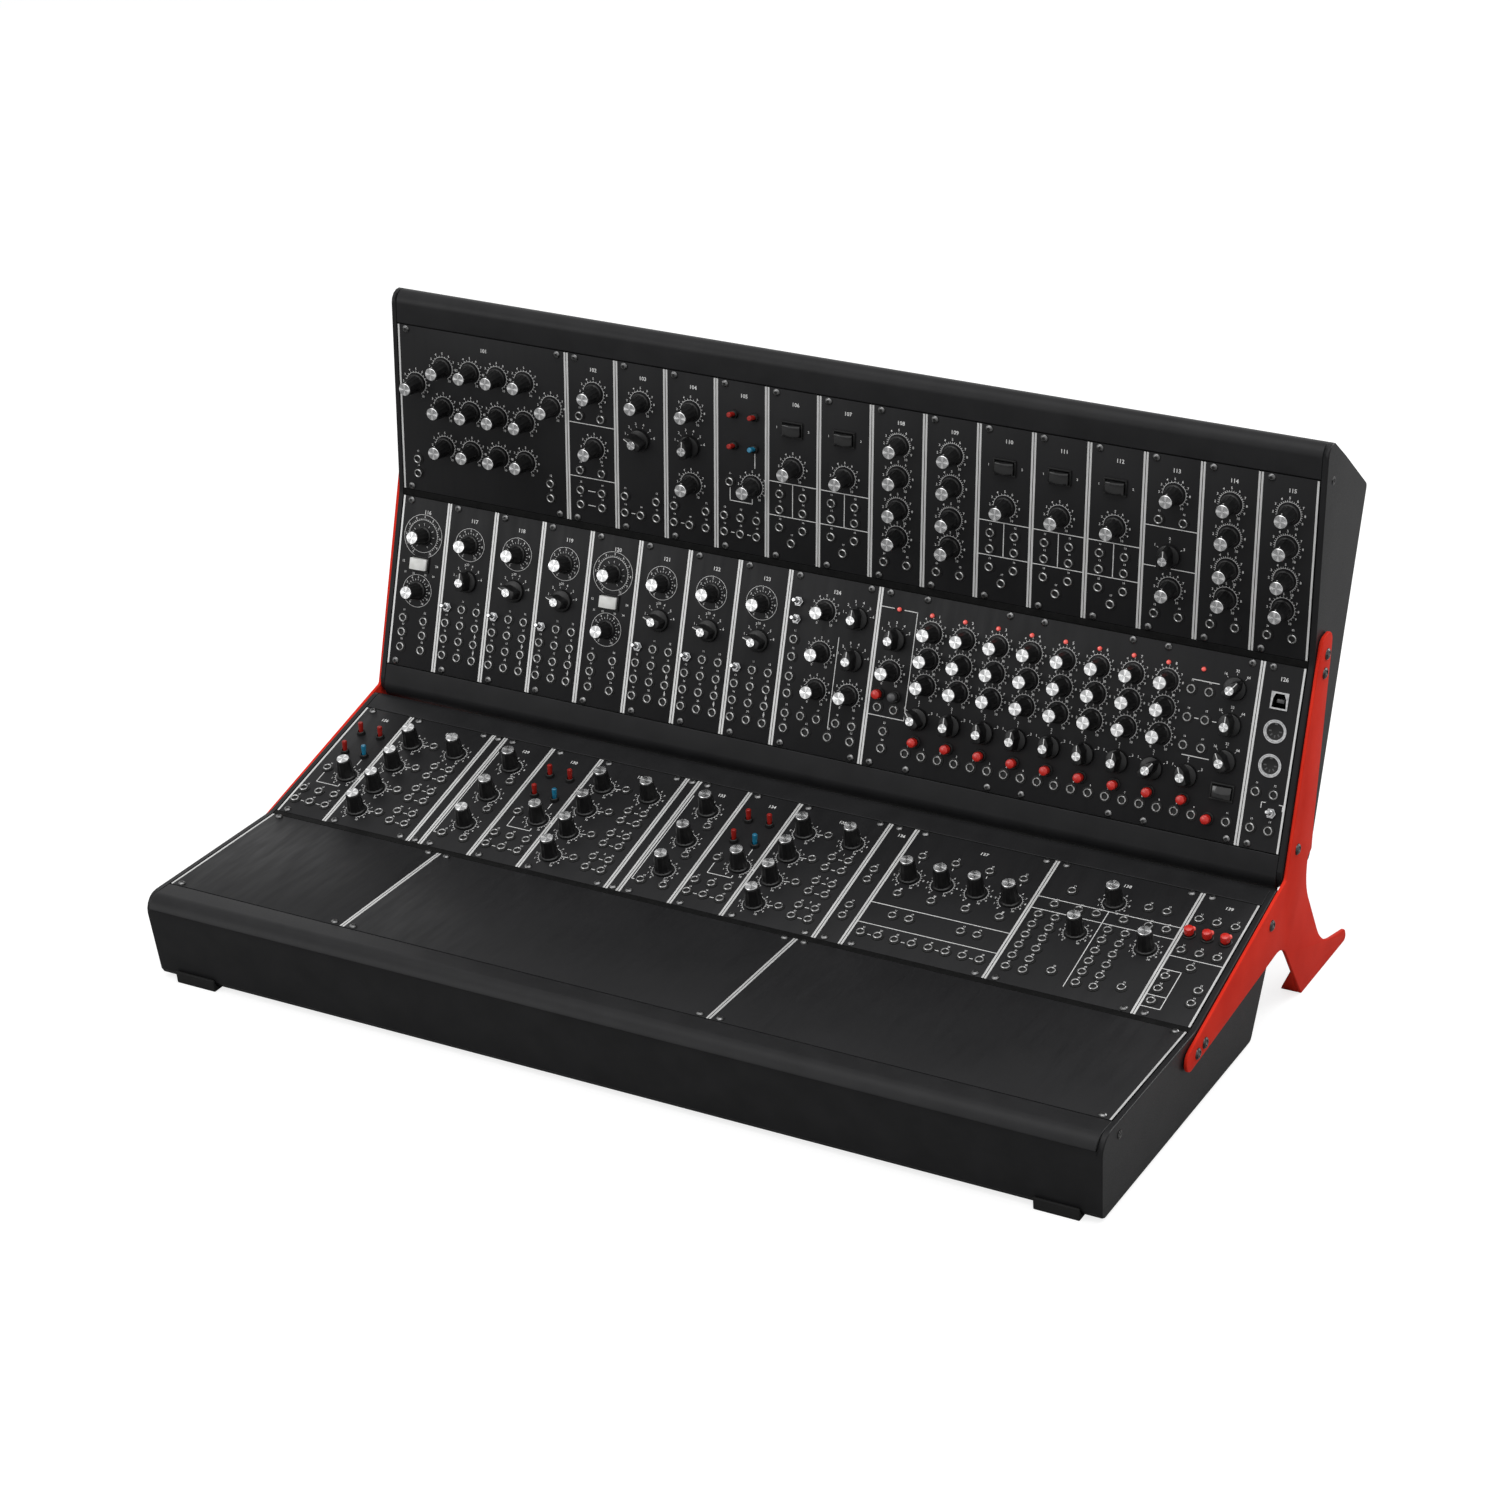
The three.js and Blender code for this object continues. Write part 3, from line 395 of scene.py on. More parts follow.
# Turned templates in millimetres: radius and height, sides, and for some the bend that stays smooth
TURNED = {
    "knob_cap": ([(0, 15.2), (4.65, 15.2), (4.65, 16.5), (4.4, 16.8), (2.4, 16.8), (0, 16.8)], 24),
    "selector_skirt": ([(0, 0.4), (8.3, 0.4), (8.3, 1.6), (8, 2.7), (7.3, 3.1), (0, 3.1)], 28),
    "selector_cap": ([(0, 12.2), (3.3, 12.2), (3.3, 13.2), (3.1, 13.5), (1.6, 13.5), (0, 13.5)], 20),
    "lever_nut": ([(1.6, 0), (3.9, 0), (3.9, 1.2), (3.6, 1.5), (1.6, 1.5), (1.6, 0)], 6, 25),
    "lever_thread": ([(1.2, 1.4), (2.5, 1.4), (2.5, 3), (2.2, 3.3), (1.2, 3.3), (1.2, 1.4)], 12),
    "bat_lever": ([(0, -1.4), (1.1, -1.4), (1.1, 3.2), (1.7, 8), (1.75, 9.1), (1.2, 9.7), (0, 9.8)], 14),
    "capped_lever": ([(0, -1), (1.1, -1), (1.2, 1.5), (1.6, 1.8), (1.95, 8.6), (1.8, 9.2), (1.3, 9.6),
                      (0, 9.6)], 14),
    "lever_collar": ([(1.6, 0), (3.4, 0), (3.3, 1), (2.9, 2.5), (2.3, 2.8), (1.9, 1.2), (1.6, 0)], 14),
    "button_cap": ([(0, -4), (1.9, -4), (1.9, 0.2), (3.3, 0.2), (3.4, 3.6), (3.1, 4.5), (2.3, 5),
                    (0, 5.2)], 18),
    "button_collar": ([(3.6, 0), (4.7, 0), (4.6, 0.9), (4.2, 1.3), (3.6, 1.3), (3.6, 0)], 18),
    "jack_nut": ([(2.2, 0.4), (3.3, 0.4), (3.25, 1.5), (2.9, 1.9), (2.55, 1.9), (2.2, 1.5),
                  (2.2, 0.4)], 12),
    # A black disc under the jack's nut: painted shade in the bore, and a painted shade ring round the nut.
    "jack_painted_shade_disc": ([(0, 0), (4.4, 0), (4.3, 0.5), (2, 0.55), (0, 0.5)], 12),
    "panel_screw": ([(0, 0), (2.7, 0), (2.6, 0.7), (1.9, 1.4), (1.2, 1.6), (0, 1.6)], 12),
    # A black hexagon just over the screw's head: painted shade where its hex socket is.
    "painted_shade_screw_recess": ([(0, 1.5), (1.3, 1.5), (1.25, 1.66), (0, 1.62)], 6, 20),
    "lamp_lens": ([(0, 0), (1.6, 0), (1.55, 1.1), (1.1, 1.8), (0, 2.1)], 12),
    "side_bolt": ([(0, 0), (4.1, 0), (4, 0.6), (3, 1.5), (2.1, 1.6), (1.9, 0.9), (0, 0.8)], 24),
    "bolt_hexagon": ([(0, 0.7), (1.6, 0.7), (1.5, 1.1), (0, 1.1)], 6, 20),
    "din_ring": ([(6, -0.5), (6.3, 0.4), (7.1, 0.4), (7.3, 0.7), (8.1, 0.7), (8.2, 0.04), (6, 0.04),
                  (6, -0.5)], 40),
    "din_floor": ([(0, -3.4), (6.35, -3.4), (6.35, -0.4), (6, -0.5), (0, -0.6)], 36),
}


def turned(name, faced=False):
    """A turned template. One faced on a lathe gets a UV map that runs round it."""
    profile, sides, *bend = TURNED[name]
    shape = lathe(profile, sides)
    return mesh_of(name, polar_uv(shape) if faced else shape, *bend)


# Other templates of the controls, in millimetres: X right, Y up the panel, Z out of it

def knob_grip():
    """A tapering fluted grip on a narrow base ring."""
    shape = lathe([(0, 0.4), (7.1, 0.4), (7.1, 1.5), (6.5, 2.1), (5.3, 15), (5, 15.5), (0, 15.5)], KNOB_SIDES)
    for vert in shape.verts:
        radius = math.hypot(vert.co.x, vert.co.y)
        step = round(math.atan2(vert.co.y, vert.co.x) / (2 * math.pi / KNOB_SIDES))
        if 5.2 < radius < 6.6 and step % 2:
            vert.co.x *= FLUTE_SCALE
            vert.co.y *= FLUTE_SCALE
    return mesh_of("knob_grip", shape, 24)


def selector_body():
    """A round skirt with a long pointed grip across it."""
    grip = prism([(-3.9, -5.4), (-2.4, -6.8), (2.4, -6.8), (3.9, -5.4), (4, 3.6), (1.3, 8.1), (-1.3, 8.1),
                  (-4, 3.6)], 11.5)
    for vert in grip.verts:
        if vert.co.z > 1:
            vert.co.x *= 0.84
            vert.co.y *= 0.93
    bevelled(grip, 0.6, 2, 30)
    bmesh.ops.translate(grip, vec=(0, 0, 1), verts=grip.verts)
    return joined("selector_body", turned("selector_skirt"), mesh_of("grip", grip))


def rocker_paddle():
    """A paddle with a ridge across its middle."""
    outline = [(-6.7, -1.4), (6.7, -1.4), (6.7, 4.2), (5.9, 4.6), (0, 5.4), (-5.9, 4.6), (-6.7, 4.2)]
    shape = prism(outline, 8.6, 0.35, 2)
    bmesh.ops.rotate(shape, matrix=Matrix.Rotation(math.pi / 2, 3, "X"), verts=shape.verts)
    bmesh.ops.translate(shape, vec=(0, 4.3, 0), verts=shape.verts)
    return mesh_of("rocker_paddle", shape)


def rocker_frame():
    """The bezel round a paddle: four bevelled bars."""
    bars = [bar for side in (-1, 1) for bar in (((17, 1.3, 1.6), (0, side * 5.4, 0.8)),
                                                ((1.2, 9.6, 1.6), (side * 7.9, 0, 0.8)))]
    return joined("rocker_frame", *(mesh_of("bar", block(size, centre, 0.3)) for size, centre in bars))


# Printing: flat white shapes just over the panel

def flat_arc(radius, width, start, sweep, steps):
    """A band round the middle, from an angle clockwise from the top."""
    shape = bmesh.new()
    angle = math.radians(start)
    ends = [shape.verts.new((r * math.sin(angle), r * math.cos(angle), 0))
            for r in (radius - width / 2, radius + width / 2)]
    edge = shape.edges.new(ends)
    bmesh.ops.spin(shape, geom=ends + [edge], axis=(0, 0, 1), cent=(0, 0, 0),
                   angle=-math.radians(sweep), steps=steps, use_merge=sweep == 360)
    for face in shape.faces:
        if face.normal.z < 0:
            face.normal_flip()
    return as_mesh("flat_arc", shape)


number_meshes = {}


def number(text):
    """A plain number one millimetre high, centred on its place."""
    if text not in number_meshes:
        curve = bpy.data.curves.new("number", "FONT")
        curve.body = text
        curve.size = 1.38
        curve.offset = 0.025
        curve.resolution_u = 2
        curve.align_x = curve.align_y = "CENTER"
        holder = added("number", curve)
        bpy.context.view_layer.update()
        depsgraph = bpy.context.evaluated_depsgraph_get()
        number_meshes[text] = bpy.data.meshes.new_from_object(holder.evaluated_get(depsgraph))
        bpy.data.objects.remove(holder)
    return number_meshes[text]


square = bmesh.new()
bmesh.ops.create_grid(square, x_segments=1, y_segments=1, size=0.5)
SQUARE = mesh_of("flat_square", square)


def on_dial(angle, radius, facing=False):
    """A place round a dial, clockwise from the top."""
    turn = math.radians(angle)
    place = Matrix.Translation((radius * math.sin(turn), radius * math.cos(turn), 0))
    return place @ Matrix.Rotation(-turn, 4, "Z") if facing else place


def tick(angle, inner, outer, width):
    return SQUARE, on_dial(angle, (inner + outer) / 2, True) @ Matrix.Diagonal((width, outer - inner, 1, 1))


def dial(name, texts, sweep, ring, ticks, number_radius, size=1.9, arc=True, extra=()):
    """A scale: an arc with ticks, and numbers outside or inside it."""
    step = sweep / (len(texts) - 1)
    places = []
    if arc:
        places.append((flat_arc(ring, 0.28, -sweep / 2, sweep, 30), Matrix()))
    for i in range(ticks):
        angle = -sweep / 2 + sweep * i / (ticks - 1)
        places.append(tick(angle, ring - 0.1, ring + 1.1, 0.34))
    for i, text in enumerate(texts):
        place = on_dial(-sweep / 2 + i * step, number_radius) @ Matrix.Scale(size, 4)
        places.append((number(text), place))
    places.extend(extra)
    return merged(name, places)


TENTHS = [str(i) for i in range(11)]
DIALS = {
    "tenths": dial("tenths", TENTHS, KNOB_SWEEP, 8.4, 21, 11, 1.7),
    "dense": dial("dense", TENTHS, KNOB_SWEEP, 8.4, 31, 11.2, 1.8),
    **{name: dial(name, TENTHS[1:count + 1], sweep, 9.4, count, 12.2, arc=False)
       for name, count, sweep in (("six", 6, 150), ("five", 5, 120), ("three", 3, 120))},
    "close": dial("close", ["16", "32", "64"], 84, 9.4, 3, 12.2, arc=False),
    "ringed": dial("ringed", TENTHS, KNOB_SWEEP, 8.1, 21, 10.6, 1.6, False,
                   [(flat_arc(12.3, 0.3, 0, 360, 48), Matrix())]),
    "double": dial("double", TENTHS, KNOB_SWEEP, 12.3, 41, 14.6, 1.6, False,
                   [(flat_arc(12.3, 0.28, 0, 360, 48), Matrix()), (flat_arc(16.2, 0.3, 0, 360, 56), Matrix()),
                    *[tick(-150 + 30 * i, 8, 9.6, 0.34) for i in range(11)]]),
}


# Rows: each has a matrix from millimetres on its panels to metres in the frame

def row_matrix(case_place, tilt, bend):
    """The case's own plane, or the plane beyond its rail."""
    start = Matrix.Rotation(math.radians(tilt), 4, "X")
    if bend:
        half = math.radians(bend / 2)
        start = start @ Matrix.Translation((
            0, PANEL_HEIGHT + RAIL_WIDTH * math.cos(half), RAIL_WIDTH * math.sin(half)))
        start = start @ Matrix.Rotation(math.radians(bend), 4, "X")
    origin = Matrix.Translation((-HALF_ROW, case_place.x, case_place.y))
    return Matrix.Scale(MM, 4) @ origin @ start


ROWS = {
    1: row_matrix(UPPER_CASE, UPPER_CASE_TILT, ROW_BEND),
    2: row_matrix(UPPER_CASE, UPPER_CASE_TILT, 0),
    3: row_matrix(LOWER_CASE, 0, ROW_BEND),
    4: row_matrix(LOWER_CASE, 0, 0),
}

Part = namedtuple("Part", "mesh material slot fixed")
gathered = defaultdict(list)
parts = {}


def part(name, mesh, material, slot, fixed=False):
    parts[name] = Part(mesh, material, slot, fixed)
    return name


CONTROLS = {
    "knob": [part("knob_grips", knob_grip(), KNOB, "knob"),
             part("knob_caps", turned("knob_cap", True), SPUN, "lever"),
             part("knob_marks", mesh_of("knob_mark", block((0.7, 0.7, 3), (0, 4.9, 13.9), 0.12)),
                  PRINT, "white")],
    "selector": [part("selector_bodies", selector_body(), KNOB, "knob"),
                 part("selector_caps", turned("selector_cap", True), SPUN, "lever"),
                 part("selector_marks", mesh_of("selector_mark", block((0.6, 4, 0.1), (0, 5.4, 12.53))),
                      PRINT, "white")],
    "lever": [part("bat_levers", turned("bat_lever"), CHROME, "lever"),
              part("lever_bushings", joined("bushing", turned("lever_nut"), turned("lever_thread")),
                   CHROME, "lever", True)],
    "red_lever": [part("red_levers", turned("capped_lever"), LEVER_RED, "red"),
                  part("lever_collars", turned("lever_collar"), DULL_BLACK_AND_SHADE, "black", True)],
    "blue_lever": [part("blue_levers", turned("capped_lever"), BLUE, "blue"), "lever_collars"],
    "rocker": [part("black_paddles", rocker_paddle(), GLOSS, "black"),
               part("rocker_frames", rocker_frame(), DULL_BLACK_AND_SHADE, "black", True)],
    "white_rocker": [part("white_paddles", rocker_paddle(), WHITE, "white"), "rocker_frames"],
    "button": [part("red_buttons", turned("button_cap"), RED, "red"),
               part("button_collars", turned("button_collar"), DULL_BLACK_AND_SHADE, "black", True)],
    "grey_button": [part("grey_buttons", turned("button_cap"), GREY, "grey"), "button_collars"],
    "jack": [part("jack_nuts", turned("jack_nut"), NUT, "lever", True),
             # The black discs are painted shade in each jack's bore and round its nut.
             part("jack_painted_shade_discs", turned("jack_painted_shade_disc"), DULL_BLACK_AND_SHADE, "black", True)],
    "screw": [part("panel_screws", turned("panel_screw"), SCREW_STEEL, "steel", True),
              # The black hexagons are painted shade of the screws' hex sockets.
              part("painted_shade_screw_recesses", turned("painted_shade_screw_recess"), DULL_BLACK_AND_SHADE, "black", True)],
    "lamp": [part("lamps", turned("lamp_lens"), LAMP, "red", True)],
}
LEANS = {"lever": ("X", -LEVER_TILT), "red_lever": ("X", -LEVER_TILT), "blue_lever": ("X", -LEVER_TILT),
         "rocker": ("Y", ROCKER_TILT), "white_rocker": ("Y", ROCKER_TILT)}
DIAL_OF = {"knob": "tenths", "selector": "six"}


def grid(columns, ups):
    return [(column, up) for up in ups for column in columns]


class Module:
    """A module's panel on a row, with its stripes, screws and running number, and what stands on it.

    Places are in units from the module's left edge and millimetres up.
    """

    made = 0
    narrow = 8

    def __init__(self, row, left, width, titled=True, plate=True):
        self.row, self.left, self.width = row, left, width
        middle = PANEL_HEIGHT / 2
        if plate:
            sheet = block((width * UNIT - 2 * PANEL_GAP, PANEL_HEIGHT, PANEL_THICKNESS), bevel=0.3)
            self.add("panels", mesh_of("plate", sheet), self.place(width / 2, middle, -PANEL_THICKNESS / 2))
        for seam, side in ((0, 1), (width, -1)):
            stripe = self.place(seam, middle, STRIPE_OUT) @ Matrix.Translation((side * STRIPE_MIDDLE, 0, 0))
            self.add("stripes", SQUARE, stripe @ Matrix.Diagonal((STRIPE_WIDTH, STRIPE_LENGTH, 1, 1)))
        inset = min(SCREW_INSET / UNIT, width / 2)
        columns = [inset] if width <= self.narrow else [inset, width - inset]
        self.put("screw", *grid(columns, SCREW_UPS))
        Module.made += 1
        if titled:
            self.numbers(TITLE_UP, TITLE_SIZE, (width / 2 + 0.4, str(100 + Module.made)))

    def place(self, units, up, out=0.0):
        return ROWS[self.row] @ Matrix.Translation(((self.left + units) * UNIT, up, out))

    def add(self, kind, mesh, place):
        gathered[f"row_{self.row}", kind].append((mesh, place))

    def put(self, kind, *places, node=None, scale=None, points=0):
        """Controls of one kind. The first is the node, if one is named, and points turns them clockwise."""
        scale = scale or DIAL_OF.get(kind)
        for units, up in places:
            place = self.place(units, up) @ Matrix.Rotation(-math.radians(points), 4, "Z")
            for name in CONTROLS[kind]:
                here, owner = place, f"row_{self.row}"
                if not parts[name].fixed:
                    owner = node or owner
                    if kind in LEANS:
                        axis, degrees = LEANS[kind]
                        here = place @ Matrix.Rotation(math.radians(degrees), 4, axis)
                    if "button" in kind:
                        here = self.place(units, up, BUTTON_LIFT)
                gathered[owner, name].append((parts[name].mesh, here))
            node = None
            if scale:
                self.add("print", DIALS[scale], self.place(units, up, PRINT_OUT))

    def numbers(self, up, size, *places):
        """Plain numbers at one height, each with its place along the panel."""
        for units, text in places:
            self.add("print", number(text), self.place(units, up, PRINT_OUT) @ Matrix.Scale(size, 4))

    def lines(self, *runs):
        """Printed lines, each through two or more places."""
        for run in runs:
            for (x0, y0), (x1, y1) in zip(run, run[1:]):
                along = Vector(((x1 - x0) * UNIT, y1 - y0))
                place = self.place((x0 + x1) / 2, (y0 + y1) / 2, PRINT_OUT)
                place = place @ Matrix.Rotation(math.atan2(along.y, along.x), 4, "Z")
                self.add("print", SQUARE,
                         place @ Matrix.Diagonal((along.length + LINE_WIDTH, LINE_WIDTH, 1, 1)))

    def rules(self, *ups):
        """Printed lines across the whole panel."""
        self.lines(*([(LINE_INSET, up), (self.width - LINE_INSET, up)] for up in ups))

    def jacks(self, *places, numbered=1):
        """Jack sockets with plain numbers over them."""
        self.put("jack", *places)
        for count, (units, up) in enumerate(places, 1):
            self.numbers(up + JACK_NUMBER_RISE, JACK_NUMBER_SIZE, (units, str(10 * numbered + count)))


# The modules, by their places from the left edge of the row

def filter_bank(left):
    panel = Module(1, left, 28)
    panel.put("knob", (2.85, 84.7), (25.4, 84.7), *grid((7.4, 12, 16.5, 21), (100, 69.4, 38.6)),
              node="filter_bank_low_knob")
    panel.jacks((2.7, 25.4), (25.1, 25.5), (2.7, 14.2), (25.1, 14.2))


def filters(left):
    panel = Module(1, left, 8)
    panel.put("knob", (4.4, 101), (4.4, 58.8))
    panel.jacks(*grid((2.1, 5.6), (82.2, 40.6, 25.2, 14.1)))
    panel.rules(76.5, 35.2)
    panel.lines([(3.3, 25.2), (4.4, 25.2)], [(3.3, 14.1), (4.4, 14.1)])


def high_pass(left):
    panel = Module(1, left, 8)
    panel.put("knob", (4, 100.2))
    panel.put("selector", (3.8, 71.6), points=-60)
    panel.jacks((1.35, 26.8), (6.45, 26.8), (1.35, 14.1), (3.9, 14.1), (6.45, 14.1))
    panel.lines([(2.4, 14.1), (2.85, 14.1)])


def low_pass(left):
    panel = Module(1, left, 8)
    panel.put("knob", (4, 100.2), (4, 45.4))
    panel.put("selector", (3.8, 73.7))
    panel.jacks((1.3, 26.6), (6.4, 26.7), (1.3, 14), (3.8, 14), (6.4, 14))
    panel.lines([(2.4, 14), (2.8, 14)])


def control_voltages(left):
    panel = Module(1, left, 8)
    panel.put("red_lever", (2.9, 104.3), (6.1, 104.3), (2.9, 80.6), node="red_toggle")
    panel.put("blue_lever", (6.1, 80.6), node="blue_toggle")
    panel.put("knob", (5.7, 52))
    panel.lines([(6.1, 77), (6.1, 66)], [(2.2, 48), (2.2, 38.6), (5.7, 38.6), (5.7, 42)])
    panel.jacks((2.2, 52.9), *grid((1.35, 3.9, 6.45), (26.7, 14.3)))
    panel.lines([(2.4, 14.3), (2.85, 14.3)], [(4.95, 14.3), (5.4, 14.3)])


def amplifier(left, node=None):
    panel = Module(1, left, 8)
    panel.put("rocker", (3.9, 99.9), node=node)
    panel.numbers(99.9, 1.7, (1.5, "1"), (6.4, "2"))
    panel.put("knob", (4, 71))
    panel.rules(58.9, 33.5)
    panel.lines([(4, 58.9), (4, 33.5)])
    panel.jacks(*grid((2.05, 5.65), (50.5, 38.6, 25.2)), (3.9, 14.4))


def envelope(left, node=None):
    panel = Module(1, left, 8)
    panel.put("knob", (4.1, 102), (4.1, 78.6), (4.1, 54.8), node=node, scale="dense")
    panel.put("knob", (4.1, 33.8))
    panel.jacks((2.2, 14), (5.7, 14.3), numbered=2)


def trigger_delay(left):
    panel = Module(1, left, 8)
    panel.put("knob", (4.2, 101.7), (4.2, 33.5))
    panel.put("selector", (3.9, 57.3), scale="three")
    panel.jacks(*grid((2.2, 5.7), (82.3, 14.1)))
    panel.rules(77)
    panel.lines([(0.4, 47.9), (2.05, 47.9)], [(4.3, 47.9), (7.6, 47.9)])


def oscillator_driver(left, knob_node=None, rocker_node=None):
    panel = Module(2, left, 8)
    panel.put("knob", (4, 100.3), node=knob_node, scale="double")
    panel.put("white_rocker", (3.9, 79.3), node=rocker_node)
    panel.numbers(79.3, 1.7, (1.1, "12"), (6.8, "24"))
    panel.numbers(71.4, 1.5, (1.6, "31"), (3, "32"), (5, "33"), (6.4, "34"))
    panel.put("knob", (3.9, 58.6), scale="ringed")
    panel.jacks(*grid((2.08, 5.6), (36.7, 25.8, 14.4)), numbered=2)


def oscillator(left, selector_node=None, lever_node=None):
    panel = Module(2, left, 8)
    panel.put("knob", (4, 100.5), scale="ringed")
    panel.put("selector", (4.2, 73), node=selector_node, points=0 if selector_node else -70)
    panel.put("lever", (1.3, 51.2), node=lever_node)
    panel.jacks((3.85, 51.4), (6.4, 51.6), *grid((1.3, 3.85, 6.4), (39.2, 27, 14.6)))
    panel.numbers(85.6, 1.8, (4, "20"))
    panel.lines([(6.4, 34.9), (6.4, 31.3)], [(6.4, 22.7), (6.4, 18.9)])


def wide_oscillator(left):
    panel = Module(2, left, 14)
    panel.put("lever", (1.7, 107.1), (1.7, 94.3))
    panel.put("knob", (5.9, 103.8), (5.9, 73.4), (5.9, 46.2), (11, 46.8))
    panel.put("selector", (11, 102.8), (11, 72.7))
    panel.jacks(*grid((1.7,), (79.6, 66.9, 52.5, 40.1)), *grid((1.75, 4.2, 6.7, 9.7, 12.2), (25.6,)),
                *grid((1.75, 5.2, 8.7, 12.2), (14.6,)))
    panel.lines([(8.5, 86.7), (8.5, 20.9)])


# The sequencer has eight steps with knobs, and a selector and a button for one more
STEPS = 8
STEP_PITCH = 4.98
STEP_SELECTORS = (-40, 0, -5, 5, 0, -8, 5, 38, -20)


def sequencer(left):
    panel = Module(2, left, 56, titled=False)
    panel.put("selector", (2.95, 93.3), node="sequencer_range_selector", scale="five")
    panel.put("knob", (2.85, 70.1))
    panel.put("button", (1.55, 53), node="start_button")
    panel.put("grey_button", (4, 53), node="stop_button")
    panel.lines([(0.4, 115.2), (2.3, 115.2)], [(3.9, 115.2), (5.85, 115.2), (5.85, 37.4), (0.4, 37.4)])
    panel.put("lamp", (3.1, 115.2), (47.98, 115.1))
    panel.jacks((1.7, 43.6), (4.2, 43.6), (3, 27.1), (3, 14.7), numbered=2)
    columns = [8.3 + step * STEP_PITCH for step in range(STEPS + 1)]
    panel.put("knob", *grid(columns[:STEPS], (102.7, 83.8, 64.9)), node="step_knob")
    panel.put("button", *((column - 0.45, 24) for column in columns), node="step_button")
    for step, (column, points) in enumerate(zip(columns, STEP_SELECTORS)):
        text = str(step + 1)
        if step < STEPS:
            panel.put("lamp", (column - 0.2, 115.2))
            panel.numbers(115.2, 2, (column + 0.9, text))
        panel.put("selector", (column - 0.5, 40.4), scale="three", points=points)
        for units in (6.7 + 5 * step, 9.2 + 5 * step):
            panel.put("jack", (units, 14.6))
            panel.numbers(19.9, 1.4, (units + 0.2, text))
    panel.jacks((54.13, 14.7), *grid((46.65, 49.2), (100.3, 80.8, 61.2)))
    panel.put("button", (51.5, 14.1))
    for up, points in ((105.9, 38), (80.7, 0), (55.4, -27)):
        panel.put("selector", (52.7, up), scale="close", points=points)
    panel.lines([(46.65, 106.9), (50.4, 106.9)], [(47.65, 80.8), (48.15, 80.8)],
                [(50.2, 80.7), (50.7, 80.7)], [(46.65, 54.4), (50.4, 54.4)])
    panel.put("rocker", (53, 34.3), node="sequencer_rocker")
    panel.put("screw", *grid((7.1, 19.5, 24.6, 37.5, 42.6), SCREW_UPS))


def oscillator_controller(left):
    panel = Module(3, left, 8)
    panel.put("red_lever", (2.6, 98.8), (5.9, 98.8), (2.6, 75.4))
    panel.put("blue_lever", (5.9, 75.4))
    panel.put("knob", (5.8, 51.1))
    panel.lines([(5.9, 71), (5.9, 65)], [(2.1, 49.5), (2.1, 38.5), (5.8, 38.5), (5.8, 41)])
    panel.jacks((2.1, 54.6), *grid((1.25, 3.8, 6.4), (28, 15.3)))
    panel.lines([(2.3, 15.3), (2.75, 15.3)], [(4.85, 15.3), (5.35, 15.3)])


def mixer(left, node=None):
    panel = Module(3, left, 14)
    panel.put("knob", (3.3, 99), (3.3, 72.1), (3.3, 45.1), (3.3, 18.7), (10.7, 99.3), node=node)
    for up in (101.6, 74.9, 48.2, 21.4):
        panel.put("jack", (6.8, up))
        panel.lines([(5.1, up - 1), (5.9, up - 0.4)])
    ups = (80.5, 68.9, 53.7, 42.3, 26.8, 15.3)
    panel.jacks(*grid((9.3, 11.8), ups), numbered=2)
    panel.lines(*([(10.3, up), (10.8, up)] for up in ups))
    for count, up in enumerate((86.6, 59.8, 32.9), 1):
        panel.numbers(up, 1.8, (10.55, str(count)))


def attenuators(left):
    panel = Module(3, left, 8)
    panel.put("knob", (4.1, 99), (4.1, 64.4), (4.1, 30.4))
    panel.jacks((5.65, 83.3), (5.6, 49.7), (5.6, 15.2), (2, 15.7))
    panel.lines([(0.6, 112), (0.6, 15.7), (1, 15.7)])


def noise_source(left):
    Module(3, left, 4).jacks(*grid((1.9,), (78.3, 67, 38.2, 26.8)))


def wide_attenuators(left):
    panel = Module(3, left, 21)
    columns = (3.1, 8.1, 13.15, 18.15)
    panel.put("knob", *grid(columns, (78.6,)), node="attenuator_knob")
    for units in columns:
        panel.jacks((units, 101.9), (units, 60.2), numbered=2)
        panel.lines([(units, 95.5), (units, 97)], [(units, 65), (units, 66.5)])
    panel.rules(47.5, 25.9)
    panel.jacks(*grid((4.35, 6.8, 14.4, 16.8), (37.9,)))
    panel.jacks(*grid((1.67, 4.2, 6.65, 9.2, 11.65, 14.15, 16.6, 19.1), (15.4,)), numbered=2)
    panel.lines(*([(units + 1.05, 15.4), (units + 1.45, 15.4)] for units in (1.67, 6.65, 11.65, 16.6)))


def interface(left):
    panel = Module(3, left, 21)
    panel.put("knob", (10.5, 99.4), (7.9, 62.5), (17.9, 62.5))
    panel.jacks((4.25, 101.4), (15.25, 101.6), (17.85, 101.6),
                *grid((3.1, 6.6, 9.15, 13.05, 16.6, 19.1), (84.3,)), (7.9, 21), (17.8, 21))
    panel.jacks(*grid((1.85, 4.3, 11.8, 14.3), (71.3, 60.2, 49, 37.9, 26.7, 15.4)), numbered=2)
    panel.lines([(0.4, 90), (20.7, 90)], [(0.4, 77.5), (20.7, 77.5)], [(10.5, 89.4), (10.5, 10.2)])


def sequential_switch(left):
    panel = Module(3, left, 8)
    for units, node in ((1.25, "switch_button"), (3.8, None), (6.35, None)):
        panel.put("button", (units, 85.2), node=node)
        panel.put("lamp", (units + 0.15, 91.5))
    panel.jacks(*grid((1.4, 3.9, 6.5), (101.4,)))
    panel.jacks(*grid((1.4, 3.95, 6.45), (68.3,)), numbered=2)
    panel.jacks((3.9, 53.4), (6.45, 34), (6.45, 21.1))
    panel.jacks(*grid((1.35,), (40.5, 27.7, 15.2)), numbered=2)
    panel.rules(61.9)
    panel.lines([(0.35, 9.6), (3.05, 9.6), (3.05, 47.9), (0.35, 47.9)], [(0.35, 21.5), (3.05, 21.5)])


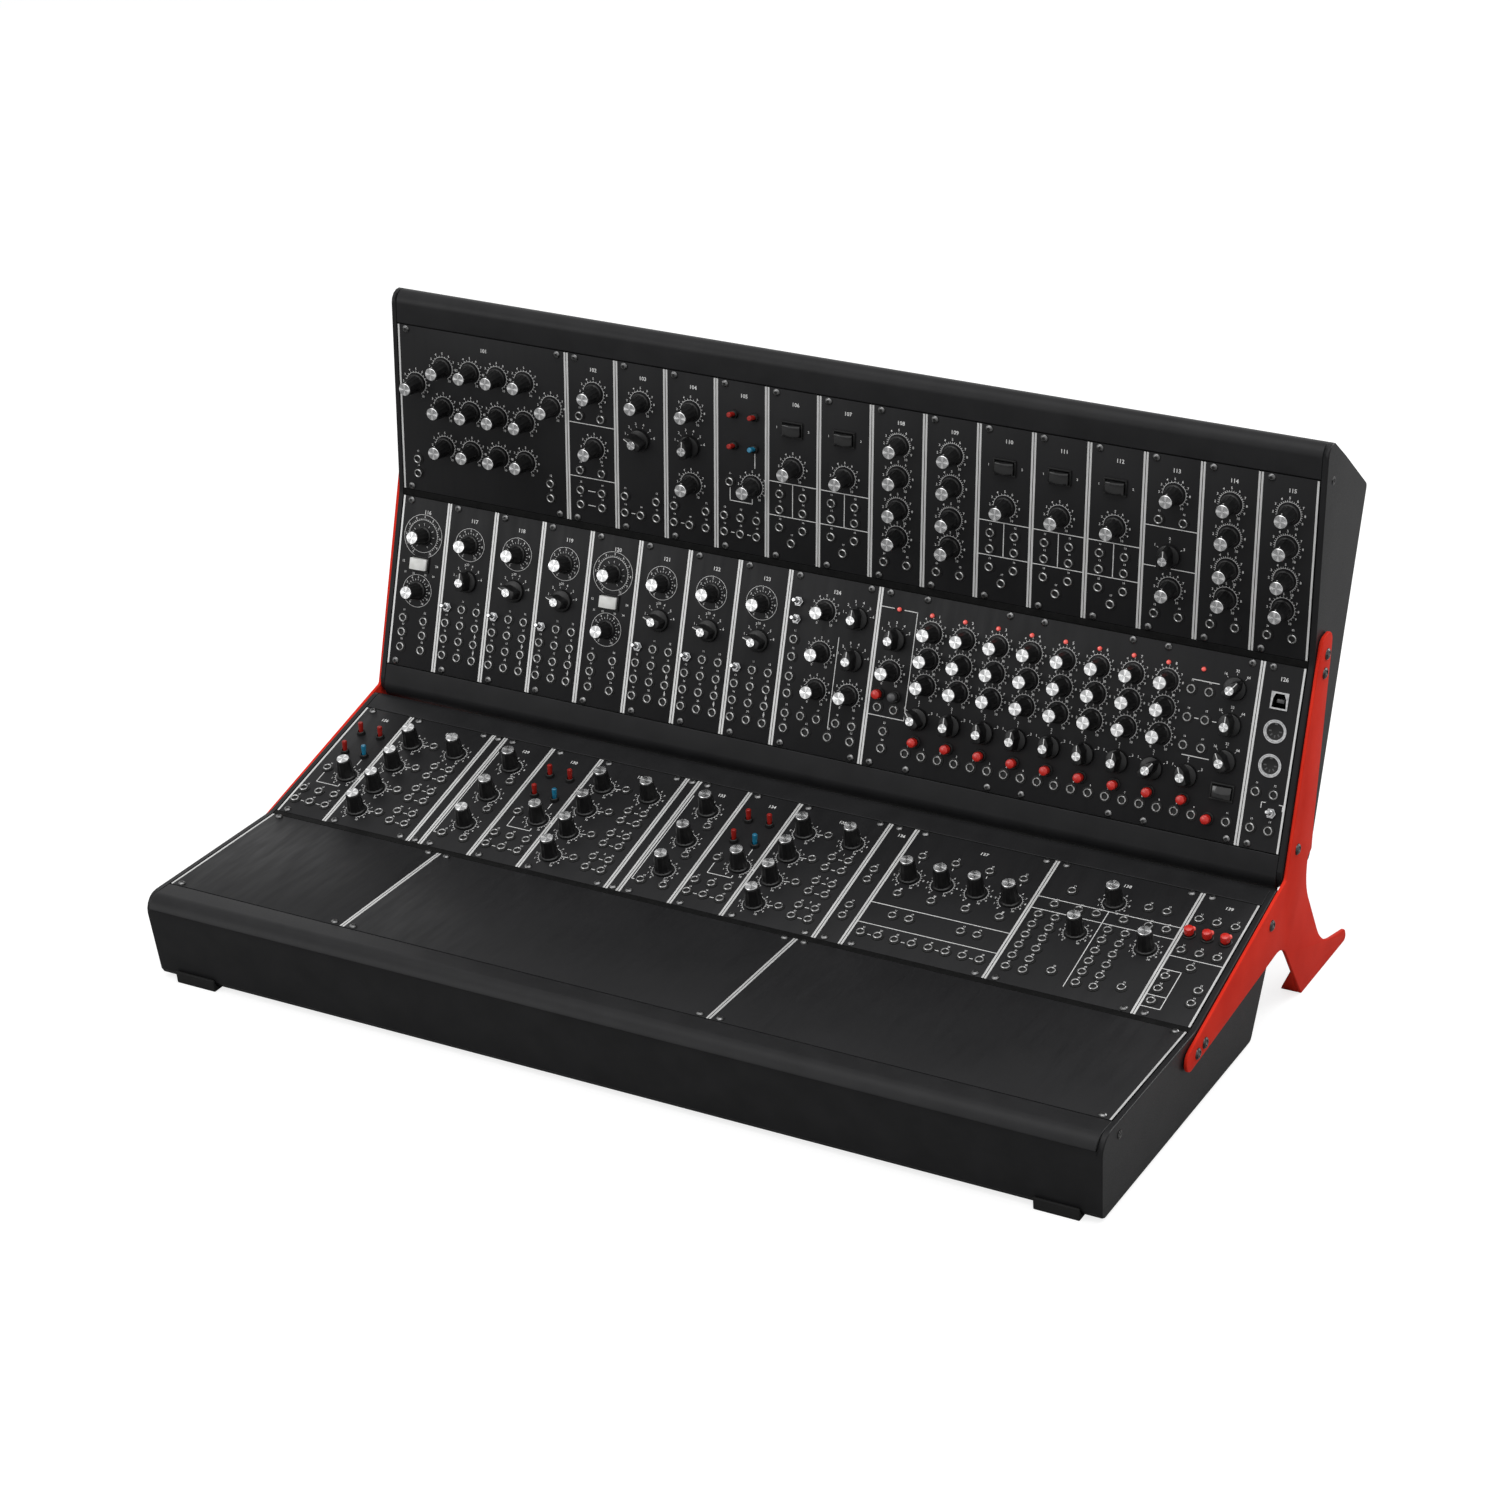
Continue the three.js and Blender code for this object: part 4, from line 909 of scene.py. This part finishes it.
filter_bank(0)
filters(28)
high_pass(36)
low_pass(44)
control_voltages(52)
amplifier(60, "amplifier_rocker")
amplifier(68)
envelope(76, "envelope_knob")
envelope(84)
amplifier(92)
amplifier(100)
amplifier(108)
trigger_delay(116)
envelope(124)
envelope(132)
oscillator_driver(0, "driver_knob", "driver_rocker")
oscillator(8, "oscillator_range_selector", "oscillator_toggle")
for left in (16, 24):
    oscillator(left)
oscillator_driver(32)
for left in (40, 48, 56):
    oscillator(left)
wide_oscillator(64)
sequencer(78)
oscillator_controller(0)
mixer(8, "mixer_knob")
Module(3, 22, 2, titled=False)
attenuators(24)
oscillator_controller(32)
mixer(40)
Module(3, 54, 2, titled=False)
attenuators(56)
oscillator_controller(64)
mixer(72)
noise_source(86)
wide_attenuators(90)
interface(111)
sequential_switch(132)
for left, width in ((0, 28), (28, 56), (84, 56)):
    Module(4, left, width, titled=False)


# The converter's panel is the frame's own sheet, with its sockets' insides and its printing

def usb_insert():
    """The bright rim round an opening with two cut corners, and the plug's tongue inside."""
    rim = prism([(-6.2, -6), (6.2, -6), (6.2, 1.5), (6.2, 6), (-6.2, 6), (-6.2, 1.5)], 0.9)
    ends = [max(rim.faces, key=lambda face: sign * face.calc_center_median().z) for sign in (1, -1)]
    for face in ends:
        bmesh.ops.inset_individual(rim, faces=[face], thickness=1.6)
        for vert in face.verts:
            if vert.co.y > 3:
                vert.co.x *= 0.6
    edges = [edge for face in ends for edge in face.edges]
    bmesh.ops.delete(rim, geom=ends, context="FACES_ONLY")
    bmesh.ops.bridge_loops(rim, edges=edges)
    tongue = block((5.4, 2.6, 5.4), (0, -0.6, -4.6), 0.25)
    return mesh_of("rim", rim), mesh_of("tongue", tongue)


def din_contacts():
    """The slots and the notch in a round socket's face, with their places."""
    slot = mesh_of("din_slot", block((0.9, 1.9, 0.2), (0, 0, -0.52)))
    notch = mesh_of("din_notch", block((2, 1.4, 0.2), (0, 5.2, -0.5)))
    return [(slot, on_dial(90 + 45 * count, 3.7, True)) for count in range(5)] + [(notch, Matrix())]


def converter(left):
    panel = Module(2, left, 6, titled=False, plate=False)
    for name, mesh in zip(("usb_rim", "usb_tongue"), usb_insert()):
        gathered["converter", name].append((mesh, panel.place(3, 103.7)))
    for up in (82.6, 58.9):
        place = panel.place(3, up)
        gathered["converter", "din_rings"].append((turned("din_ring"), place))
        gathered["converter", "din_floors"].append((turned("din_floor"), place))
        gathered["converter", "din_contacts"] += [(mesh, place @ matrix) for mesh, matrix in din_contacts()]
    panel.numbers(TITLE_UP, TITLE_SIZE, (3.2, "126"))
    panel.jacks(*grid((1.57, 4.13), (39.7, 14.6)))
    panel.put("lever", (4.1, 26.9), node="converter_toggle")
    panel.lines([(2.6, 29.5), (2.6, 33.4), (3.1, 33.4)], [(5.6, 29.5), (5.6, 33.4), (5.1, 33.4)])


converter(134)
for name, material in (("usb_rim", CHROME), ("usb_tongue", GREY), ("din_rings", CHROME),
                       ("din_floors", DULL_BLACK_AND_SHADE), ("din_contacts", GREY)):
    part(name, None, material, "steel" if material is CHROME else "black", True)
part("print", None, PRINT, "white", True)
part("stripes", None, STRIPE, "lever", True)
part("panels", None, PANEL, "panel", True)

REPLACED_PANELS = {
    "row_1": ("filter_bank_panel", "filter_and_envelope_panels", "amplifier_and_delay_panels"),
    "row_2": ("oscillator_panels", "wide_oscillator_panel", "sequencer_panel"),
    "row_3": ("controller_and_mixer_panels", "attenuator_and_interface_panels"),
    "row_4": ("left_blank_panel", "middle_blank_panel", "right_blank_panel"),
}


# One piece for each kind on a row, and pieces of its own for each control that moves
stands_for = set()
for (owner, kind), places in gathered.items():
    moving = owner in frame["nodes"]
    replaced = REPLACED_PANELS.get(owner, ()) if kind == "panels" else ()
    if moving and owner not in stands_for:
        replaced = (owner,)
        stands_for.add(owner)
    item = parts[kind]
    piece(f"{owner}_{kind}", merged(kind, places), item.material, owner if moving else "case", item.slot,
          *replaced)


# Case pieces: the frame's own shapes with their edges rounded

def node_shape(node):
    """A merged copy of a node's shape, with its flat faces whole."""
    shape = bmesh.new()
    shape.from_mesh(frame["nodes"][node].data)
    bmesh.ops.remove_doubles(shape, verts=shape.verts, dist=1e-6)
    bmesh.ops.dissolve_limit(shape, angle_limit=math.radians(0.5), verts=shape.verts, edges=shape.edges)
    return shape


def finished(node, shape, material=BODY, slot="body", body="case"):
    thing = piece(f"{node}_finished", smooth_mesh(node, shape), material, body, slot, node)
    thing.modifiers.new("even_shading", "WEIGHTED_NORMAL").keep_sharp = True


def dress(node, material, slot, width, body="case"):
    """A node with its sharp edges rounded and its bends smooth."""
    finished(node, bevelled(node_shape(node), width * MM, 2, CASE_BEND), material, slot, body)


def tapered(shape, row):
    """The shape drawn in towards the case's bottom."""
    there, back = ROWS[row].inverted(), ROWS[row]
    top = back.to_3x3() @ Vector((0, 0, 1))
    bmesh.ops.bisect_plane(shape, geom=shape.verts[:] + shape.edges[:] + shape.faces[:], dist=1e-7,
                           plane_co=back.translation, plane_no=top.normalized())
    for vert in shape.verts:
        place = there @ vert.co
        middle = place.x - HALF_ROW
        place.x -= math.copysign(CASE_TAPER * min(max(-place.z / CASE_DEPTH, 0), 1), middle)
        vert.co = back @ place
    return shape


def cheek(node, row):
    """An end cheek: rounded outside, and flush with the pan inside."""
    shape = node_shape(node)
    rim = [edge for edge in shape.edges
           if all(abs(vert.co.x) > (CHEEK_OUTER - 0.1) * MM for vert in edge.verts)]
    round_edges(shape, rim, EDGE_ROUNDING * MM, 5)
    finished(node, tapered(shape, row))


def pan(node, row):
    """A pan that reaches to the cheeks with no gap."""
    shape = node_shape(node)
    ends = (CHEEK_INNER - 1) * MM
    for vert in shape.verts:
        if abs(vert.co.x) > ends:
            vert.co.x = math.copysign(CHEEK_INNER * MM, vert.co.x)
    bends = [edge for edge in sharp_edges(shape, CASE_BEND)
             if not all(abs(vert.co.x) > ends for vert in edge.verts)]
    round_edges(shape, bends, 0.4 * MM, 2)
    finished(node, tapered(shape, row))


def lip(node, row, edge, shift):
    """A lip that leaves narrow dark lines beside the panels and over the front sheet."""
    shape = node_shape(node)
    for vert in shape.verts:
        place = ROWS[row].inverted() @ vert.co
        if abs(place.y - edge) < 0.1:
            place.y += shift
        if place.y < 0 and place.z < -FRONT_LIP_DEPTH + 0.5:
            place.z += SEAM_LINE
        vert.co = ROWS[row] @ place
    finished(node, bevelled(shape, 0.5 * MM, 2, CASE_BEND))


for case, row in (("lower", 4), ("upper", 2)):
    pan(f"{case}_case_pan", row)
    lip(f"{case}_front_lip", row, -LIP_GAP, -LIP_SHIFT)
    lip(f"{case}_rear_lip", row - 1, PANEL_HEIGHT + LIP_GAP, LIP_SHIFT)
    dress(f"{case}_middle_rail", RAIL, "body", 0.3)
    cheek(f"{case}_left_cheek", row)
    cheek(f"{case}_right_cheek", row)
    dress(f"{case}_power_inlet", DULL_BLACK_AND_SHADE, "black", 0.4)
    dress(f"{case}_power_switch", GLOSS, "black", 0.8, f"{case}_power_switch")
for foot in ("front_left_foot", "front_right_foot", "rear_left_foot", "rear_right_foot"):
    dress(foot, RUBBER, "rubber", 0.8)

for material, *nodes in ((PANEL, "converter_panel"), (STEEL, "lower_power_supply", "upper_power_supply"),
                         (BOARD, "lower_bus_board", "upper_bus_board", "top_row_circuit_board",
                          "second_row_circuit_board", "third_row_circuit_board")):
    for node in nodes:
        frame["nodes"][node].data.materials[0] = material


# Side brackets: corners and bolts as depth and height from the upper case's corner, with radii

FOOT_DROP = -UPPER_CASE.y
BRACKET_CORNERS = [
    (-181.2, -68.1, 8), (-173.8, -82.3, 9), (0.7, -67.7, 26), (48.6, FOOT_DROP, 2), (143.4, FOOT_DROP, 3.5),
    (139, FOOT_DROP + 9.8, 6), (85.7, FOOT_DROP + 22, 55), (40.2, -39.5, 45), (41.3, -18.1, 2.5),
    (48.3, -14.3, 2.5), (48.9, 8.4, 40), (60.9, 146.1, 9), (38.9, 144.6, 8), (-1.7, -17.9, 3),
]
BRACKET_BOLTS = [
    (50.7, 129.9), (48.1, 116.8), (17, -1.6), (-26.4, -40.3), (-145.9, -71.9), (-158.6, -73.7),
]
FLANGE_REACH = 12.6
CHEEK_SCREWS = [(45.6, 254.9), (-285.4, -69.6)]


def rounded(corners, steps=8):
    """The points of an outline whose corners are arcs."""
    points = []
    for i, (y, z, radius) in enumerate(corners):
        corner = Vector((y, z))
        before = (Vector(corners[i - 1][:2]) - corner).normalized()
        after = (Vector(corners[(i + 1) % len(corners)][:2]) - corner).normalized()
        half = before.angle(after) / 2
        centre = corner + (before + after).normalized() * radius / math.sin(half)
        start = corner + before * radius / math.tan(half) - centre
        end = corner + after * radius / math.tan(half) - centre
        turn = start.angle_signed(end)
        for step in range(steps + 1):
            points.append(centre + Matrix.Rotation(-turn * step / steps, 2) @ start)
    return points


def on_side(side, outer, *places):
    """Meshes drawn in depth and height and raised outwards, turned to a side of the object."""
    x = side * (BRACKET_INNER + outer)
    stood = Matrix(((0, 0, side, x), (1, 0, 0, UPPER_CASE.x), (0, 1, 0, UPPER_CASE.y), (0, 0, 0, 1)))
    mesh = merged("side", [(mesh, Matrix.Scale(MM, 4) @ stood @ place) for mesh, place in places])
    if side < 0:
        mesh.flip_normals()
    return mesh


def bracket_mesh(side):
    """The cut sheet, and the flange under its heel that it stands on."""
    plate = prism(rounded(BRACKET_CORNERS), BRACKET_THICKNESS, 0.6, 3)
    knee, toe = Vector(BRACKET_CORNERS[2][:2]), Vector(BRACKET_CORNERS[3][:2])
    along = (toe - knee).normalized()
    top = toe - along * FLANGE_REACH * 2.4
    flange = raised([(*toe, 0), (*toe, -FLANGE_REACH), (*top, -1), (*top, 0)],
                    Vector((-along.y, along.x, 0)) * BRACKET_THICKNESS, 0.5)
    sheet = joined("sheet", mesh_of("plate", plate), mesh_of("flange", flange))
    return on_side(side, 0, (sheet, Matrix()))


bolt, hexagon = turned("side_bolt"), turned("bolt_hexagon")
sunk = Matrix.Diagonal((0.75, 0.75, 0.4, 1))
for side, word in ((-1, "left"), (1, "right")):
    piece(f"{word}_bracket_plate", bracket_mesh(side), BRACKET, "case", "bracket", f"{word}_bracket")
    for name, mesh, material, slot in (("bolts", bolt, DARK_STEEL, "black"),
                                       ("bolt_sockets", hexagon, STEEL, "steel")):
        placed = [(mesh, Matrix.Translation((y, z, 0))) for y, z in BRACKET_BOLTS]
        piece(f"{word}_bracket_{name}", on_side(side, BRACKET_THICKNESS, *placed), material, "case", slot)
    screws = [(bolt, Matrix.Translation((y, z, -0.3)) @ sunk) for y, z in CHEEK_SCREWS]
    piece(f"{word}_cheek_screws", on_side(side, 0, *screws), DARK_STEEL, "case", "black")


# Floor, light and camera

FLOOR_SIDE = 12
FLOOR_GREY = (0.4, 0.4, 0.4, 1)
FLOOR_GLOW = 0.78
WORLD_LEVEL = 0.4
LIGHT_TARGET = Vector((0, 0, 0.2))


def floor():
    """A white floor that goes over into the white background and keeps the shadow."""
    finish = Finish("white_floor", base_color=FLOOR_GREY, roughness=0.9, specular_ior_level=0.1,
                    emission_color=(1, 1, 1, 1))
    seen = finish.node("LightPath")["Is Camera Ray"]
    finish.feed(emission_strength=finish.node("Math", {0: seen, 1: FLOOR_GLOW}, operation="MULTIPLY")[0])
    mesh = SQUARE.copy()
    mesh.transform(Matrix.Scale(FLOOR_SIDE, 4))
    mesh.materials.append(finish.material)
    added("floor", mesh)


def world():
    """White to the camera and in reflections, and a plain level of light elsewhere."""
    scene.world = bpy.data.worlds.new("studio")
    scene.world.use_nodes = True
    tree = scene.world.node_tree
    rays = outputs_of(tree, "LightPath")
    seen = rays["Is Camera Ray"]
    for ray in ("Is Glossy Ray", "Is Transmission Ray"):
        seen = outputs_of(tree, "Math", {0: seen, 1: rays[ray]}, operation="MAXIMUM")[0]
    level = outputs_of(tree, "MapRange", {"To Min": WORLD_LEVEL, "Value": seen})["Result"]
    wire(tree, tree.nodes["Background"], {"Color": (1, 1, 1, 1), "Strength": level})


def softbox(name, place, size, power):
    light = bpy.data.lights.new(name, "AREA")
    light.shape = "RECTANGLE"
    light.size, light.size_y = size
    light.energy = power
    thing = added(name, light)
    thing.location = place
    thing.rotation_euler = (LIGHT_TARGET - Vector(place)).to_track_quat("-Z", "Y").to_euler()


# The photograph's viewpoint, in metres and degrees, with its focal length in its own pixels
CAMERA_PLACE = (1.0938, LOWER_CASE.x * MM - 1.93306, 1.2595)
CAMERA_TURN = (64.7624, 0.1046, 27.9086)
PHOTO_WIDTH = 1512
FOCAL_PIXELS = 3797.77
OPTICAL_CENTRE = (703.01, 797.17)
SENSOR = 36


def camera():
    data = bpy.data.cameras.new("camera")
    data.sensor_width = SENSOR
    data.lens = FOCAL_PIXELS * SENSOR / PHOTO_WIDTH
    data.shift_x = (PHOTO_WIDTH / 2 - OPTICAL_CENTRE[0]) / PHOTO_WIDTH
    data.shift_y = (OPTICAL_CENTRE[1] - PHOTO_WIDTH / 2) / PHOTO_WIDTH
    thing = scene.camera = added("camera", data)
    thing.location = CAMERA_PLACE
    thing.rotation_euler = [math.radians(angle) for angle in CAMERA_TURN]


floor()
world()
softbox("ceiling_light", (0.2, -0.6, 2.2), (2.6, 1.8), 34)
softbox("front_light", (-1.6, -2.2, 1.2), (1.4, 1.4), 17)
softbox("edge_light", (1.5, 2.2, 1.3), (1.2, 0.6), 26)
camera()
scene.view_settings.view_transform = "Standard"
